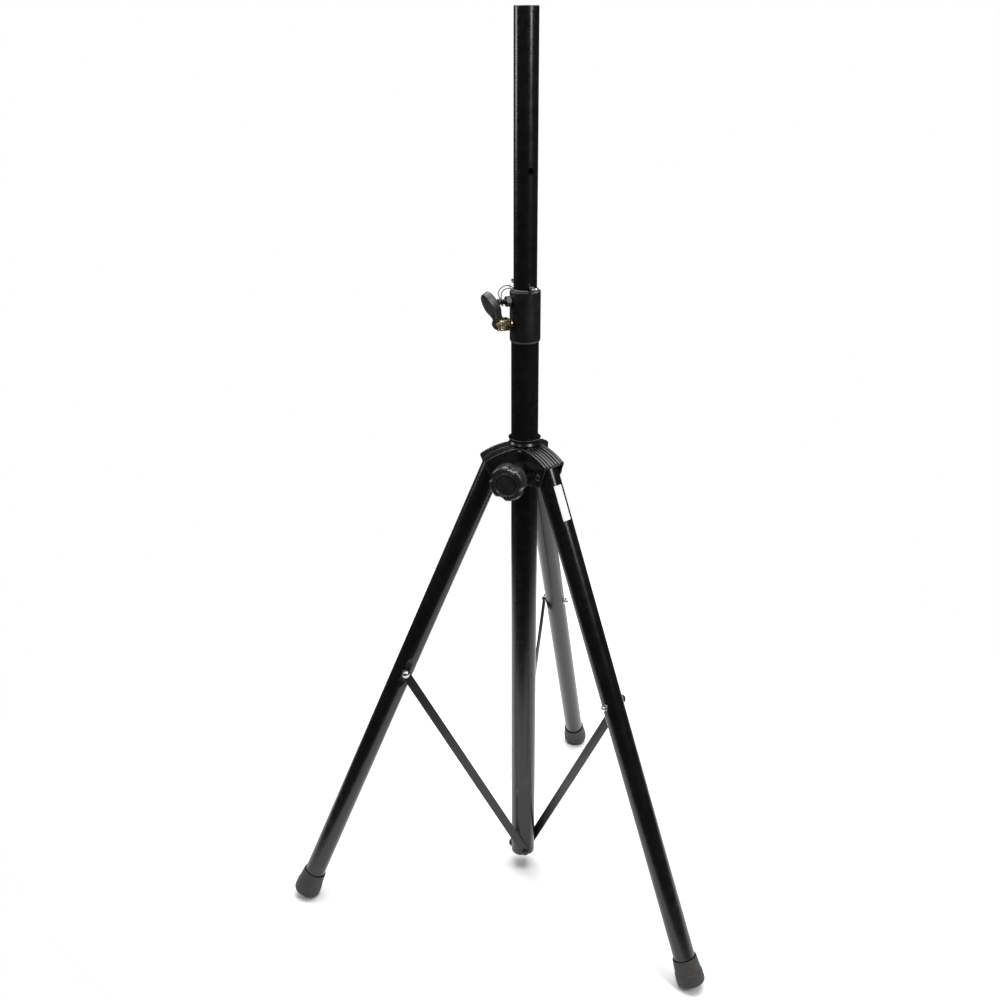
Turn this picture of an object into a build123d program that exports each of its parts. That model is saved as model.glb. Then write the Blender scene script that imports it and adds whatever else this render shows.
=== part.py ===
from build123d import *
import os
from math import asin, atan2, cos, degrees, hypot, pi, radians, sin, tan

# Loudspeaker tripod stand: a telescopic mast in a column, three folding legs on a sliding
# hub, and three flat struts from the column's foot to the legs. Millimetres, +Z up, origin
# on the floor under the mast, rear leg along +Y.

# ---------------------------------------------------------------- driving dimensions
# Tubes
MAST_R = 17.5
MAST_WALL = 1.5
MAST_BOTTOM = 446.0
MAST_TOP = 1446.0
SOCKET_MARK = 1326.0
COLUMN_R = 21.0
COLUMN_WALL = 1.5
COLUMN_BOTTOM = 28.0
COLUMN_TOP = 1058.0
LEG_R = 17.5
LEG_WALL = 1.2

# Leg geometry, measured in each leg's own radial plane
LEG_AZIMUTHS = (90.0, 210.0, 330.0)
LEG_SPREAD = 23.8
HINGE_RADIUS = 53.0
LEG_TOP = 8.0
LEG_TUBE_END = 843.0
FOOT_START = 805.0
FOOT_END = 849.0
FOOT_R = 22.8
FOOT_EDGE = 5.0

# Struts
LEG_PIVOT = 375.0
STRUT_PIVOT_Z = 36.5
STRUT_INNER = 19.2
STRUT_THICK = 3.0
STRUT_WIDTH = 15.0

# Fasteners and fits
BOLT_R = 3.0
RUNNING_GAP = 0.06
PIVOT_GAP = 0.08

# Mast clamp, cam lever and safety pin
COLLAR_R = 23.2
COLLAR_BOTTOM = 985.0
COLLAR_TOP = 1061.5
BUSH_BOTTOM = 990.0
BUSH_TOP = 1064.5
CLAMP_AZIMUTH = 220.0
CLAMP_Z = 1014.0
PLUNGER_R = 4.0
LEVER_PIVOT_R = 42.0
SCREW_AZIMUTH = 217.0
SCREW_Z = 1047.0
SCREW_R = 4.0
PIN_AZIMUTH = 132.0
PIN_R = 3.2
PIN_Z = BUSH_TOP + PIN_R + 0.2
PIN_HOLE_R = 4.3
HOLE_PITCH = 165.0

# Hub
KNOB_AZIMUTH = 270.0
HUB_BORE = 22.5
HUB_R = 25.5
ARM_HALF = 20.4
CHANNEL_HALF = 18.2

# ---------------------------------------------------------------- derived values
SPREAD = radians(LEG_SPREAD)
HINGE_Z = (
    (FOOT_END - FOOT_EDGE) * cos(SPREAD) + (FOOT_R - FOOT_EDGE) * sin(SPREAD) + FOOT_EDGE
)
KNOB_Z = HINGE_Z + 4.0
BOLT_RADIUS = HINGE_RADIUS + LEG_PIVOT * sin(SPREAD)
BOLT_RISE = HINGE_Z - LEG_PIVOT * cos(SPREAD) - STRUT_PIVOT_Z
STRUT_LENGTH = hypot(BOLT_RADIUS, BOLT_RISE)
STRUT_LEAN = degrees(atan2(BOLT_RADIUS, BOLT_RISE))
STRUT_FOLDED = degrees(asin(HINGE_RADIUS / STRUT_LENGTH))
FOLD_TRAVEL = LEG_PIVOT + STRUT_LENGTH * cos(radians(STRUT_FOLDED)) - (HINGE_Z - STRUT_PIVOT_Z)
COLUMN_BORE = COLUMN_R - COLUMN_WALL
LEG_BORE = LEG_R - LEG_WALL
STRUT_OUTER = STRUT_INNER + STRUT_THICK
SPACER_FACE = LEG_R + 0.3

BASE = (Align.CENTER, Align.CENTER, Align.MIN)
os.makedirs("parts", exist_ok=True)


# ---------------------------------------------------------------- helpers
def save(piece, label):
    """Label a finished piece and write its STEP file."""
    piece.part.label = label
    export_step(piece.part, f"parts/{label}.step")


def outward(azimuth):
    """Unit vector pointing away from the mast axis at an azimuth."""
    return Vector(cos(radians(azimuth)), sin(radians(azimuth)), 0)


def radial_plane(azimuth, side=0.0):
    """Vertical plane through the mast axis: local X outward, local Y up.

    side moves it sideways, positive towards azimuth + 90."""
    across = outward(azimuth + 90)
    return Plane(origin=across * side, x_dir=outward(azimuth), z_dir=-across)


def facing(azimuth, height, radius=0.0, side=0.0):
    """Plane that faces outward at an azimuth; local X is horizontal, local Y is up."""
    centre = outward(azimuth) * radius + outward(azimuth + 90) * side + Vector(0, 0, height)
    return Plane(origin=centre, x_dir=outward(azimuth + 90), z_dir=outward(azimuth))


def leg_plane(azimuth, distance):
    """Plane across a leg's tube, a distance below its hinge; its normal runs down the leg."""
    down = outward(azimuth) * sin(SPREAD) - Vector(0, 0, cos(SPREAD))
    hinge = outward(azimuth) * HINGE_RADIUS + Vector(0, 0, HINGE_Z)
    return Plane(origin=hinge + down * distance, x_dir=outward(azimuth + 90), z_dir=down)


def radial_rod(azimuth, height, radius, start, end, mode=Mode.ADD):
    """A round rod along a radius, between two distances from the axis."""
    with Locations(facing(azimuth, height, start)):
        Cylinder(radius, end - start, align=BASE, mode=mode)


def cross_rod(azimuth, along, height, radius, start, end, mode=Mode.ADD):
    """A round rod square to a radial plane, between two sideways offsets."""
    origin = outward(azimuth) * along + outward(azimuth + 90) * start + Vector(0, 0, height)
    with Locations(Plane(origin=origin, x_dir=outward(azimuth), z_dir=outward(azimuth + 90))):
        Cylinder(radius, end - start, align=BASE, mode=mode)


# ---------------------------------------------------------------- column
FLAT_DISTANCE = 18.6
FLAT_TOP = 183.0
FLAT_RUNOUT = 22.0


def flat_cutter(azimuth, distance):
    """The stock that a pressed flat removes from the foot of the column."""
    low = COLUMN_BOTTOM - 1
    with BuildPart(mode=Mode.PRIVATE) as cutter:
        with BuildSketch(radial_plane(azimuth)):
            with BuildLine():
                Polyline(
                    (distance, low),
                    (distance, FLAT_TOP),
                    (distance + 4, FLAT_TOP + FLAT_RUNOUT * 4 / (COLUMN_R - FLAT_DISTANCE)),
                    (COLUMN_R + 4, low),
                    close=True,
                )
            make_face()
        extrude(amount=COLUMN_R, both=True)
    return cutter.part


with BuildPart() as column_cavity:
    with BuildSketch(Plane.XY.offset(COLUMN_BOTTOM - 1)):
        Circle(COLUMN_BORE)
    extrude(amount=COLUMN_TOP - COLUMN_BOTTOM + 2)
    for leg_azimuth in LEG_AZIMUTHS:
        add(flat_cutter(leg_azimuth + 90, FLAT_DISTANCE - COLUMN_WALL), mode=Mode.SUBTRACT)

with BuildPart() as column_tube:
    with BuildSketch(Plane.XY.offset(COLUMN_BOTTOM)):
        Circle(COLUMN_R)
    extrude(amount=COLUMN_TOP - COLUMN_BOTTOM)
    for leg_azimuth in LEG_AZIMUTHS:
        add(flat_cutter(leg_azimuth + 90, FLAT_DISTANCE), mode=Mode.SUBTRACT)
    add(column_cavity.part, mode=Mode.SUBTRACT)
    for leg_azimuth in LEG_AZIMUTHS:
        cross_rod(leg_azimuth, 0, STRUT_PIVOT_Z, BOLT_R, 0, COLUMN_R, Mode.SUBTRACT)
    radial_rod(CLAMP_AZIMUTH, CLAMP_Z, PLUNGER_R + 0.4, 0, COLUMN_R + 1, Mode.SUBTRACT)
    radial_rod(SCREW_AZIMUTH, SCREW_Z, SCREW_R, 0, COLUMN_R + 1, Mode.SUBTRACT)
save(column_tube, "column_tube")

PLUG_R = FLAT_DISTANCE - COLUMN_WALL - 0.1
PIVOT_BOLT_END = 5.5
with BuildPart() as column_plug:
    with BuildSketch(Plane.XY.offset(COLUMN_BOTTOM + 0.5)):
        Circle(PLUG_R)
    extrude(amount=34)
    fillet(column_plug.edges().group_by(Axis.Z)[-1], 2)
    for leg_azimuth in LEG_AZIMUTHS:
        cross_rod(leg_azimuth, 0, STRUT_PIVOT_Z, BOLT_R, PIVOT_BOLT_END, COLUMN_R, Mode.SUBTRACT)
save(column_plug, "column_plug")


HEAD_R = 5.6
HEAD_H = 3.4
HEAD_DOME = 2.4


def domed_head(azimuth, along, height, start):
    """A domed screw head that stands out sideways from a radial plane."""
    cross_rod(azimuth, along, height, HEAD_R, start, start + HEAD_H)
    rims = edges(Select.LAST).filter_by(GeomType.CIRCLE)
    rims = rims.filter_by(lambda rim: abs(rim.radius - HEAD_R) < 0.01)
    fillet(rims.sort_by(Axis((0, 0, 0), outward(azimuth + 90)))[-1], HEAD_DOME)


with BuildPart() as strut_pivot_bolts:
    for leg_azimuth in LEG_AZIMUTHS:
        cross_rod(leg_azimuth, 0, STRUT_PIVOT_Z, BOLT_R, PIVOT_BOLT_END, STRUT_OUTER + 0.3)
        domed_head(leg_azimuth, 0, STRUT_PIVOT_Z, STRUT_OUTER + 0.3)
save(strut_pivot_bolts, "strut_pivot_bolts")

# ---------------------------------------------------------------- mast
# A fine groove marks how far the loudspeaker's socket slides down the pole.
MARK_WIDTH = 1.2
MARK_DEPTH = 0.25
with BuildPart() as mast_tube:
    with BuildSketch(Plane.XY.offset(MAST_BOTTOM)):
        Circle(MAST_R)
        Circle(MAST_R - MAST_WALL, mode=Mode.SUBTRACT)
    extrude(amount=MAST_TOP - MAST_BOTTOM - 5)
    for step in (1, 0, -1, -2, -3):
        radial_rod(
            PIN_AZIMUTH, PIN_Z + step * HOLE_PITCH, PIN_HOLE_R, -MAST_R - 1, MAST_R + 1, Mode.SUBTRACT
        )
    with BuildSketch(Plane.XY.offset(SOCKET_MARK)):
        Circle(MAST_R + 1)
        Circle(MAST_R - MARK_DEPTH, mode=Mode.SUBTRACT)
    extrude(amount=-MARK_WIDTH, mode=Mode.SUBTRACT)
save(mast_tube, "mast_tube")

with BuildPart() as mast_cap:
    with BuildSketch(Plane.XY.offset(MAST_TOP - 5)):
        Circle(MAST_R)
    extrude(amount=5)
    with BuildSketch(Plane.XY.offset(MAST_TOP - 25)):
        Circle(MAST_R - MAST_WALL)
        Circle(MAST_R - MAST_WALL - 2.2, mode=Mode.SUBTRACT)
    extrude(amount=20)
    fillet(mast_cap.edges().group_by(Axis.Z)[-1], 1.5)
save(mast_cap, "mast_cap")

GUIDE_LENGTH = 42.0
with BuildPart() as mast_guide:
    with BuildSketch(Plane.XY.offset(MAST_BOTTOM)):
        Circle(COLUMN_BORE - RUNNING_GAP)
        Circle(MAST_R, mode=Mode.SUBTRACT)
    extrude(amount=GUIDE_LENGTH)
    with BuildSketch(Plane.XY.offset(MAST_BOTTOM - 3)):
        Circle(COLUMN_BORE - RUNNING_GAP)
        Circle(MAST_R - MAST_WALL - 1, mode=Mode.SUBTRACT)
    extrude(amount=3)
    chamfer(mast_guide.edges().group_by(Axis.Z)[0].filter_by(GeomType.CIRCLE).sort_by(
        SortBy.RADIUS)[-1], 0.8)
save(mast_guide, "mast_guide")

# ---------------------------------------------------------------- mast clamp collar
YOKE_STEM_R = 6.5
with BuildPart() as clamp_collar:
    with BuildSketch(Plane.XZ):
        with BuildLine():
            Polyline(
                (COLUMN_R + 0.05, COLLAR_BOTTOM),
                (COLLAR_R - 1.3, COLLAR_BOTTOM),
                (COLLAR_R, COLLAR_BOTTOM + 3),
                (COLLAR_R, COLLAR_TOP - 1.2),
                (COLLAR_R - 1.2, COLLAR_TOP),
                (COLUMN_R - 0.5, COLLAR_TOP),
                (COLUMN_R - 0.5, COLUMN_TOP),
                (COLUMN_R + 0.05, COLUMN_TOP),
                close=True,
            )
        make_face()
    revolve(axis=Axis.Z)
    radial_rod(CLAMP_AZIMUTH, CLAMP_Z, YOKE_STEM_R, 10, COLLAR_R + 1, Mode.SUBTRACT)
    radial_rod(SCREW_AZIMUTH, SCREW_Z, SCREW_R, 10, COLLAR_R + 1, Mode.SUBTRACT)
save(clamp_collar, "clamp_collar")

with BuildPart() as collar_bush:
    with BuildSketch(Plane.XZ):
        with BuildLine():
            Polyline(
                (MAST_R + RUNNING_GAP, BUSH_BOTTOM),
                (COLUMN_BORE, BUSH_BOTTOM),
                (COLUMN_BORE, COLUMN_TOP),
                (COLUMN_R - 0.6, COLUMN_TOP),
                (COLUMN_R - 0.6, BUSH_TOP - 0.8),
                (COLUMN_R - 1.4, BUSH_TOP),
                (MAST_R + 0.7, BUSH_TOP),
                (MAST_R + RUNNING_GAP, BUSH_TOP - 0.7),
                close=True,
            )
        make_face()
    revolve(axis=Axis.Z)
    radial_rod(CLAMP_AZIMUTH, CLAMP_Z, PLUNGER_R + 0.4, 10, COLUMN_R, Mode.SUBTRACT)
save(collar_bush, "collar_bush")

# Yoke: a U bracket on a hollow stem that screws into the collar
YOKE_BASE = 26.0
YOKE_PLATE = 3.0
CHEEK_IN = 6.7
CHEEK_OUT = 9.3
YOKE_TIP_R = 8.2
with BuildPart() as lever_yoke:
    with BuildSketch(radial_plane(CLAMP_AZIMUTH)):
        with Locations(((YOKE_BASE + LEVER_PIVOT_R) / 2, CLAMP_Z)):
            Rectangle(LEVER_PIVOT_R - YOKE_BASE, 2 * YOKE_TIP_R)
        with Locations((LEVER_PIVOT_R, CLAMP_Z)):
            Circle(YOKE_TIP_R)
    extrude(amount=CHEEK_OUT, both=True)
    with BuildSketch(radial_plane(CLAMP_AZIMUTH)):
        with Locations((YOKE_BASE + YOKE_PLATE + 20, CLAMP_Z)):
            Rectangle(40, 4 * YOKE_TIP_R)
    extrude(amount=CHEEK_IN, both=True, mode=Mode.SUBTRACT)
    cross_rod(CLAMP_AZIMUTH, LEVER_PIVOT_R, CLAMP_Z, BOLT_R, -15, 15, Mode.SUBTRACT)
    radial_rod(CLAMP_AZIMUTH, CLAMP_Z, YOKE_STEM_R, COLUMN_R + 0.4, YOKE_BASE)
    radial_rod(CLAMP_AZIMUTH, CLAMP_Z, PLUNGER_R + 0.3, 15, YOKE_BASE + YOKE_PLATE + 1, Mode.SUBTRACT)
save(lever_yoke, "lever_yoke")

PLUNGER_IN = 17.8
PLUNGER_OUT = 30.7
PAD_LENGTH = 3.0
with BuildPart() as plunger_pad:
    radial_rod(CLAMP_AZIMUTH, CLAMP_Z, PLUNGER_R, PLUNGER_IN, PLUNGER_IN + PAD_LENGTH)
save(plunger_pad, "plunger_pad")

with BuildPart() as clamp_plunger:
    radial_rod(CLAMP_AZIMUTH, CLAMP_Z, PLUNGER_R, PLUNGER_IN + PAD_LENGTH, PLUNGER_OUT)
save(clamp_plunger, "clamp_plunger")

# Pivot pin of the lever, with a turned cap on one end and a riveted end on the other
PIN_CAP_R = 7.3
with BuildPart() as lever_pin:
    cap_face = CHEEK_OUT + 2.6
    cross_rod(CLAMP_AZIMUTH, LEVER_PIVOT_R, CLAMP_Z, BOLT_R, -CHEEK_OUT - 1.6, CHEEK_OUT)
    cross_rod(CLAMP_AZIMUTH, LEVER_PIVOT_R, CLAMP_Z, PIN_CAP_R, CHEEK_OUT, cap_face)
    fillet(lever_pin.edges().filter_by(GeomType.CIRCLE).filter_by(
        lambda edge: abs(edge.radius - PIN_CAP_R) < 0.01), 0.7)
    cap_centre = outward(CLAMP_AZIMUTH) * LEVER_PIVOT_R + Vector(0, 0, CLAMP_Z)
    across = outward(CLAMP_AZIMUTH + 90)
    with BuildSketch(Plane(origin=cap_centre + across * cap_face, z_dir=across)):
        Circle(4.9)
        Circle(3.4, mode=Mode.SUBTRACT)
    extrude(amount=-0.9, mode=Mode.SUBTRACT)
    with BuildSketch(Plane(origin=cap_centre + across * cap_face, z_dir=across)):
        Circle(1.3)
    extrude(amount=-1.0, mode=Mode.SUBTRACT)
    cross_rod(CLAMP_AZIMUTH, LEVER_PIVOT_R, CLAMP_Z, 4.6, -CHEEK_OUT - 1.6, -CHEEK_OUT)
save(lever_pin, "lever_pin")

# Cam lever: profile in the radial plane, with the pivot as its origin
LEVER_LEAN = 28.8
LEVER_HALF = 13.2
LEVER_NECK = 6.4
CAM_R = 9.0
CROWN_CENTRE = -1.4
lever_axis = outward(CLAMP_AZIMUTH) * sin(radians(LEVER_LEAN)) + Vector(0, 0, cos(radians(LEVER_LEAN)))
lever_pivot = outward(CLAMP_AZIMUTH) * LEVER_PIVOT_R + Vector(0, 0, CLAMP_Z)
lever_side = Plane(origin=lever_pivot, x_dir=lever_axis, z_dir=outward(CLAMP_AZIMUTH + 90))
lever_face = Plane(
    origin=lever_pivot, x_dir=lever_axis, z_dir=lever_axis.cross(outward(CLAMP_AZIMUTH + 90))
)
lever_section = Plane(
    origin=lever_pivot - lever_axis * 15, x_dir=-outward(CLAMP_AZIMUTH + 90), z_dir=lever_axis
)
with BuildPart() as cam_lever:
    with BuildSketch(lever_side):
        with BuildLine():
            Spline((6, 3.2), (9, 4), (16, 8.3), (27, 11.8), (40, 11.7), (50, 7))
            ThreePointArc((50, 7), (54.6, -0.5), (51, -6.2))
            Spline((51, -6.2), (36, -9), (18, -9.2), (3, -8.6))
            Line((3, -8.6), (6, 3.2))
        make_face()
        Circle(CAM_R)
    extrude(amount=LEVER_HALF, both=True)
    with BuildSketch(lever_face):
        with BuildLine():
            Polyline((-12, -LEVER_NECK), (-12, LEVER_NECK), (11, LEVER_NECK))
            Spline((11, LEVER_NECK), (19, LEVER_HALF - 1.7), (30, LEVER_HALF), (44, 9.9), (52, 4.6))
            ThreePointArc((52, 4.6), (54.2, 0), (52, -4.6))
            Spline((52, -4.6), (44, -9.9), (30, -LEVER_HALF), (19, 1.7 - LEVER_HALF), (11, -LEVER_NECK))
            Line((11, -LEVER_NECK), (-12, -LEVER_NECK))
        make_face()
    extrude(amount=24, both=True, mode=Mode.INTERSECT)
    with BuildSketch(lever_section):
        with Locations((0, CROWN_CENTRE)):
            Circle(LEVER_HALF)
            Rectangle(2 * LEVER_HALF, 20, align=(Align.CENTER, Align.MAX))
    extrude(amount=80, mode=Mode.INTERSECT)
    cross_rod(
        CLAMP_AZIMUTH, LEVER_PIVOT_R, CLAMP_Z, BOLT_R + PIVOT_GAP, -15, 15, Mode.SUBTRACT
    )
save(cam_lever, "cam_lever")

# Screw that fixes the collar and anchors the lanyard
SCREW_HEAD_R = 5.2
SCREW_HEAD = 40.0
SCREW_END = 43.0
with BuildPart() as collar_screw:
    radial_rod(SCREW_AZIMUTH, SCREW_Z, SCREW_R, COLUMN_BORE + 0.3, SCREW_HEAD)
    radial_rod(SCREW_AZIMUTH, SCREW_Z, SCREW_HEAD_R, SCREW_HEAD, SCREW_END)
    fillet(collar_screw.edges().filter_by(GeomType.CIRCLE).filter_by(
        lambda edge: abs(edge.radius - SCREW_HEAD_R) < 0.01), 1.0)
save(collar_screw, "collar_screw")

with BuildPart() as collar_nut:
    with BuildSketch(facing(SCREW_AZIMUTH, SCREW_Z, COLLAR_R + 0.5)):
        RegularPolygon(8.2, 6)
        Circle(SCREW_R, mode=Mode.SUBTRACT)
    extrude(amount=7.5)
save(collar_nut, "collar_nut")

# ---------------------------------------------------------------- safety pin and lanyard
PIN_REAR = 45.0
PIN_FRONT = 38.0
RING_R = 6.5
RING_WIRE = 0.6
RING_AT = 41.5
with BuildPart() as safety_pin:
    radial_rod(PIN_AZIMUTH, PIN_Z, PIN_R, -PIN_FRONT, PIN_REAR)
    fillet(safety_pin.edges().filter_by(GeomType.CIRCLE), 1.2)
    eye = outward(PIN_AZIMUTH) * RING_AT + Vector(0, 0, PIN_Z)
    with Locations(Plane(origin=eye, z_dir=outward(PIN_AZIMUTH + 90))):
        Cylinder(1.6, 12, mode=Mode.SUBTRACT)
save(safety_pin, "safety_pin")

ring_centre = outward(PIN_AZIMUTH) * RING_AT + Vector(0, 0, PIN_Z - RING_R)
with BuildPart() as split_ring:
    with Locations(Plane(origin=ring_centre, z_dir=outward(PIN_AZIMUTH))):
        Torus(RING_R, RING_WIRE)
save(split_ring, "split_ring")

# Lanyard: a wire loop seen as two strands, from the collar screw up over the rim of the
# collar and round behind the mast to the split ring. Each strand is straight runs with
# tangent arcs at the corners.
WIRE_R = 0.6
LANYARD_OUTER = [
    (-34.5, -26.0, 1053.5),
    (-36.5, -21.5, 1059.5),
    (-35.5, -14.5, 1063.5),
    (-33.0, -8.0, 1066.0),
    (-31.0, -2.0, 1066.5),
    (-30.0, 3.5, 1066.0),
    (-29.5, 9.0, 1065.0),
    (-29.5, 14.5, 1063.5),
    (-29.5, 20.0, 1061.5),
    (-29.0, 24.5, 1059.5),
    (-28.0, 28.5, 1056.5),
]
LANYARD_INNER = [
    (-31.0, -23.0, 1053.0),
    (-32.5, -18.5, 1058.0),
    (-32.0, -12.0, 1061.0),
    (-30.5, -5.5, 1062.0),
    (-29.5, 0.0, 1062.0),
    (-29.0, 5.5, 1061.5),
    (-29.0, 11.0, 1060.5),
    (-28.5, 16.0, 1059.5),
    (-28.5, 21.5, 1057.5),
    (-27.5, 25.5, 1055.5),
    (-27.0, 29.5, 1053.5),
]
ARC_SHARE = 0.45


def wire_path(points):
    """Corner radii as large as each corner's two runs allow."""
    places = [Vector(*point) for point in points]
    radii = []
    for before, here, after in zip(places, places[1:], places[2:]):
        turn = (here - before).get_angle(after - here)
        run = min((here - before).length, (after - here).length)
        radii.append(ARC_SHARE * run / tan(radians(turn) / 2))
    return places, radii


def save_wire(points, label):
    """Sweep one strand and write it."""
    places, radii = wire_path(points)
    with BuildPart() as strand:
        with BuildLine() as route:
            FilletPolyline(*places, radius=radii)
        spine = route.wire()
        with BuildSketch(Plane(origin=spine @ 0, z_dir=spine % 0)):
            Circle(WIRE_R)
        sweep(path=spine)
    length = spine.length
    print(label, "length", round(length, 1), "radii", [round(radius, 1) for radius in radii],
          "volume ratio", round(strand.part.volume / (pi * WIRE_R**2 * length), 4))
    save(strand, label)


save_wire(LANYARD_OUTER, "lanyard_outer")
save_wire(LANYARD_INNER, "lanyard_inner")

# ---------------------------------------------------------------- hub
# Heights in the hub are measured from the leg hinges.
HUB_LOW = -34.0
SLEEVE_LOW = -19.0
GUSSET_FRONT = -20.0
HUB_HIGH = 36.0
ARM_TOP = ((22.0, 34.5), (47.0, 28.0), (68.0, 17.0))
ROOF = 3.2
RIB_COUNT = 6
RIB_PITCH = 6.6
RIB_HALF = 1.5
RIB_HEIGHT = 1.3
BOSS_R = 12.5
BOSS_END = 66.0
STUD_R = 5.0
SHOE_R = 8.0


def at_hinge(point, lift=0.0):
    """A point of the hub's outline, lifted to the height of the leg hinges."""
    return point[0], point[1] + HINGE_Z + lift


def arm_roof(lift):
    """The curved top line of a hub arm."""
    ThreePointArc(*(at_hinge(point, lift) for point in ARM_TOP))


with BuildPart() as hub_casting:
    with BuildSketch(Plane.XY.offset(HINGE_Z + HUB_LOW)):
        Circle(HUB_R)
    extrude(amount=HUB_HIGH - HUB_LOW)
    for leg_azimuth in LEG_AZIMUTHS:
        with BuildSketch(radial_plane(leg_azimuth)):
            with BuildLine():
                arm_roof(0)
                Polyline(
                    at_hinge(ARM_TOP[-1]),
                    at_hinge((55.5, -17)),
                    at_hinge((30, -19)),
                    at_hinge((14, HUB_LOW)),
                    at_hinge((14, 34.5)),
                    at_hinge(ARM_TOP[0]),
                )
            make_face()
        extrude(amount=ARM_HALF, both=True)
        for rib in range(RIB_COUNT):
            side = (rib - (RIB_COUNT - 1) / 2) * RIB_PITCH
            with BuildSketch(radial_plane(leg_azimuth, side)):
                with BuildLine():
                    arm_roof(RIB_HEIGHT)
                    Line(at_hinge(ARM_TOP[-1], RIB_HEIGHT), at_hinge(ARM_TOP[-1], -2))
                    Line(at_hinge(ARM_TOP[-1], -2), at_hinge(ARM_TOP[0], -2))
                    Line(at_hinge(ARM_TOP[0], -2), at_hinge(ARM_TOP[0], RIB_HEIGHT))
                make_face()
            extrude(amount=RIB_HALF, both=True)
    for leg_azimuth in LEG_AZIMUTHS:
        with BuildSketch(radial_plane(leg_azimuth)):
            with BuildLine():
                arm_roof(-ROOF)
                Polyline(
                    at_hinge(ARM_TOP[-1], -ROOF),
                    at_hinge((80, ARM_TOP[-1][1]), -ROOF),
                    at_hinge((80, -45)),
                    at_hinge((27.5, -45)),
                    at_hinge((27.5, 20)),
                    at_hinge(ARM_TOP[0], -ROOF),
                )
            make_face()
        extrude(amount=CHANNEL_HALF, both=True, mode=Mode.SUBTRACT)
    radial_rod(KNOB_AZIMUTH, KNOB_Z, BOSS_R, HUB_BORE, BOSS_END)
    # Below the sleeve only the gusset under the knob's boss is left
    with BuildSketch(Plane.XY.offset(HINGE_Z + HUB_LOW - 1)):
        with Locations((0, GUSSET_FRONT)):
            Rectangle(200, 100, align=(Align.CENTER, Align.MIN))
    extrude(amount=SLEEVE_LOW - HUB_LOW + 1, mode=Mode.SUBTRACT)
    with BuildSketch(Plane.XY.offset(HINGE_Z + HUB_LOW - 1)):
        Circle(HUB_BORE)
    extrude(amount=HUB_HIGH - HUB_LOW + 2, mode=Mode.SUBTRACT)
    radial_rod(KNOB_AZIMUTH, KNOB_Z, SHOE_R + 0.4, 5, 32, Mode.SUBTRACT)
    radial_rod(KNOB_AZIMUTH, KNOB_Z, STUD_R + 0.5, 5, BOSS_END + 1, Mode.SUBTRACT)
    radial_rod(KNOB_AZIMUTH, KNOB_Z, 8.0, BOSS_END - 20, BOSS_END + 1, Mode.SUBTRACT)
    for leg_azimuth in LEG_AZIMUTHS:
        cross_rod(leg_azimuth, HINGE_RADIUS, HINGE_Z, BOLT_R, -30, 30, Mode.SUBTRACT)
save(hub_casting, "hub_casting")

with BuildPart() as hub_liner:
    with BuildSketch(Plane.XY.offset(HINGE_Z + SLEEVE_LOW)):
        Circle(HUB_BORE)
        Circle(COLUMN_R + RUNNING_GAP, mode=Mode.SUBTRACT)
    extrude(amount=HUB_HIGH - SLEEVE_LOW)
    radial_rod(KNOB_AZIMUTH, KNOB_Z, SHOE_R + 0.4, 5, 30, Mode.SUBTRACT)
save(hub_liner, "hub_liner")

with BuildPart() as hub_ring:
    with BuildSketch(Plane.XZ):
        with BuildLine():
            Polyline(
                at_hinge((COLUMN_R + RUNNING_GAP, HUB_HIGH)),
                at_hinge((23.4, HUB_HIGH)),
                at_hinge((23.4, HUB_HIGH + 1.2)),
            )
            ThreePointArc(
                at_hinge((23.4, HUB_HIGH + 1.2)),
                at_hinge((25.2, HUB_HIGH + 3.6)),
                at_hinge((23.2, HUB_HIGH + 6.0)),
            )
            Polyline(
                at_hinge((23.2, HUB_HIGH + 6.0)),
                at_hinge((23.0, HUB_HIGH + 8.2)),
                at_hinge((25.4, HUB_HIGH + 12.4)),
                at_hinge((24.2, HUB_HIGH + 12.8)),
                at_hinge((COLUMN_R + RUNNING_GAP, HUB_HIGH + 9.6)),
                at_hinge((COLUMN_R + RUNNING_GAP, HUB_HIGH)),
            )
        make_face()
    revolve(axis=Axis.Z)
save(hub_ring, "hub_ring")

with BuildPart() as knob_insert:
    with BuildSketch(facing(KNOB_AZIMUTH, KNOB_Z, BOSS_END - 20)):
        Circle(8.0)
        Circle(STUD_R + 0.06, mode=Mode.SUBTRACT)
    extrude(amount=19)
save(knob_insert, "knob_insert")

with BuildPart() as hinge_bolts:
    for leg_azimuth in LEG_AZIMUTHS:
        cross_rod(leg_azimuth, HINGE_RADIUS, HINGE_Z, BOLT_R, -ARM_HALF - 1, ARM_HALF + 6.5)
        cross_rod(leg_azimuth, HINGE_RADIUS, HINGE_Z, HEAD_R + 0.8, -ARM_HALF - 1, -ARM_HALF)
        origin = facing(leg_azimuth, HINGE_Z, HINGE_RADIUS, -ARM_HALF - 1).origin
        with BuildSketch(Plane(origin=origin, x_dir=Vector(0, 0, 1), z_dir=-outward(leg_azimuth + 90))):
            RegularPolygon(HEAD_R, 6)
        extrude(amount=4)
save(hinge_bolts, "hinge_bolts")

with BuildPart() as hinge_nuts:
    for leg_azimuth in LEG_AZIMUTHS:
        origin = facing(leg_azimuth, HINGE_Z, HINGE_RADIUS, ARM_HALF).origin
        with BuildSketch(Plane(origin=origin, x_dir=Vector(0, 0, 1), z_dir=outward(leg_azimuth + 90))):
            RegularPolygon(HEAD_R, 6)
            Circle(BOLT_R, mode=Mode.SUBTRACT)
        extrude(amount=5.2)
save(hinge_nuts, "hinge_nuts")

# Clamp shoe: its inner face is hollowed to the column
with BuildPart() as clamp_shoe:
    radial_rod(KNOB_AZIMUTH, KNOB_Z, SHOE_R, 15, 28)
    with BuildSketch(Plane.XY.offset(KNOB_Z - 20)):
        Circle(COLUMN_R + RUNNING_GAP)
    extrude(amount=40, mode=Mode.SUBTRACT)
save(clamp_shoe, "clamp_shoe")

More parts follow.
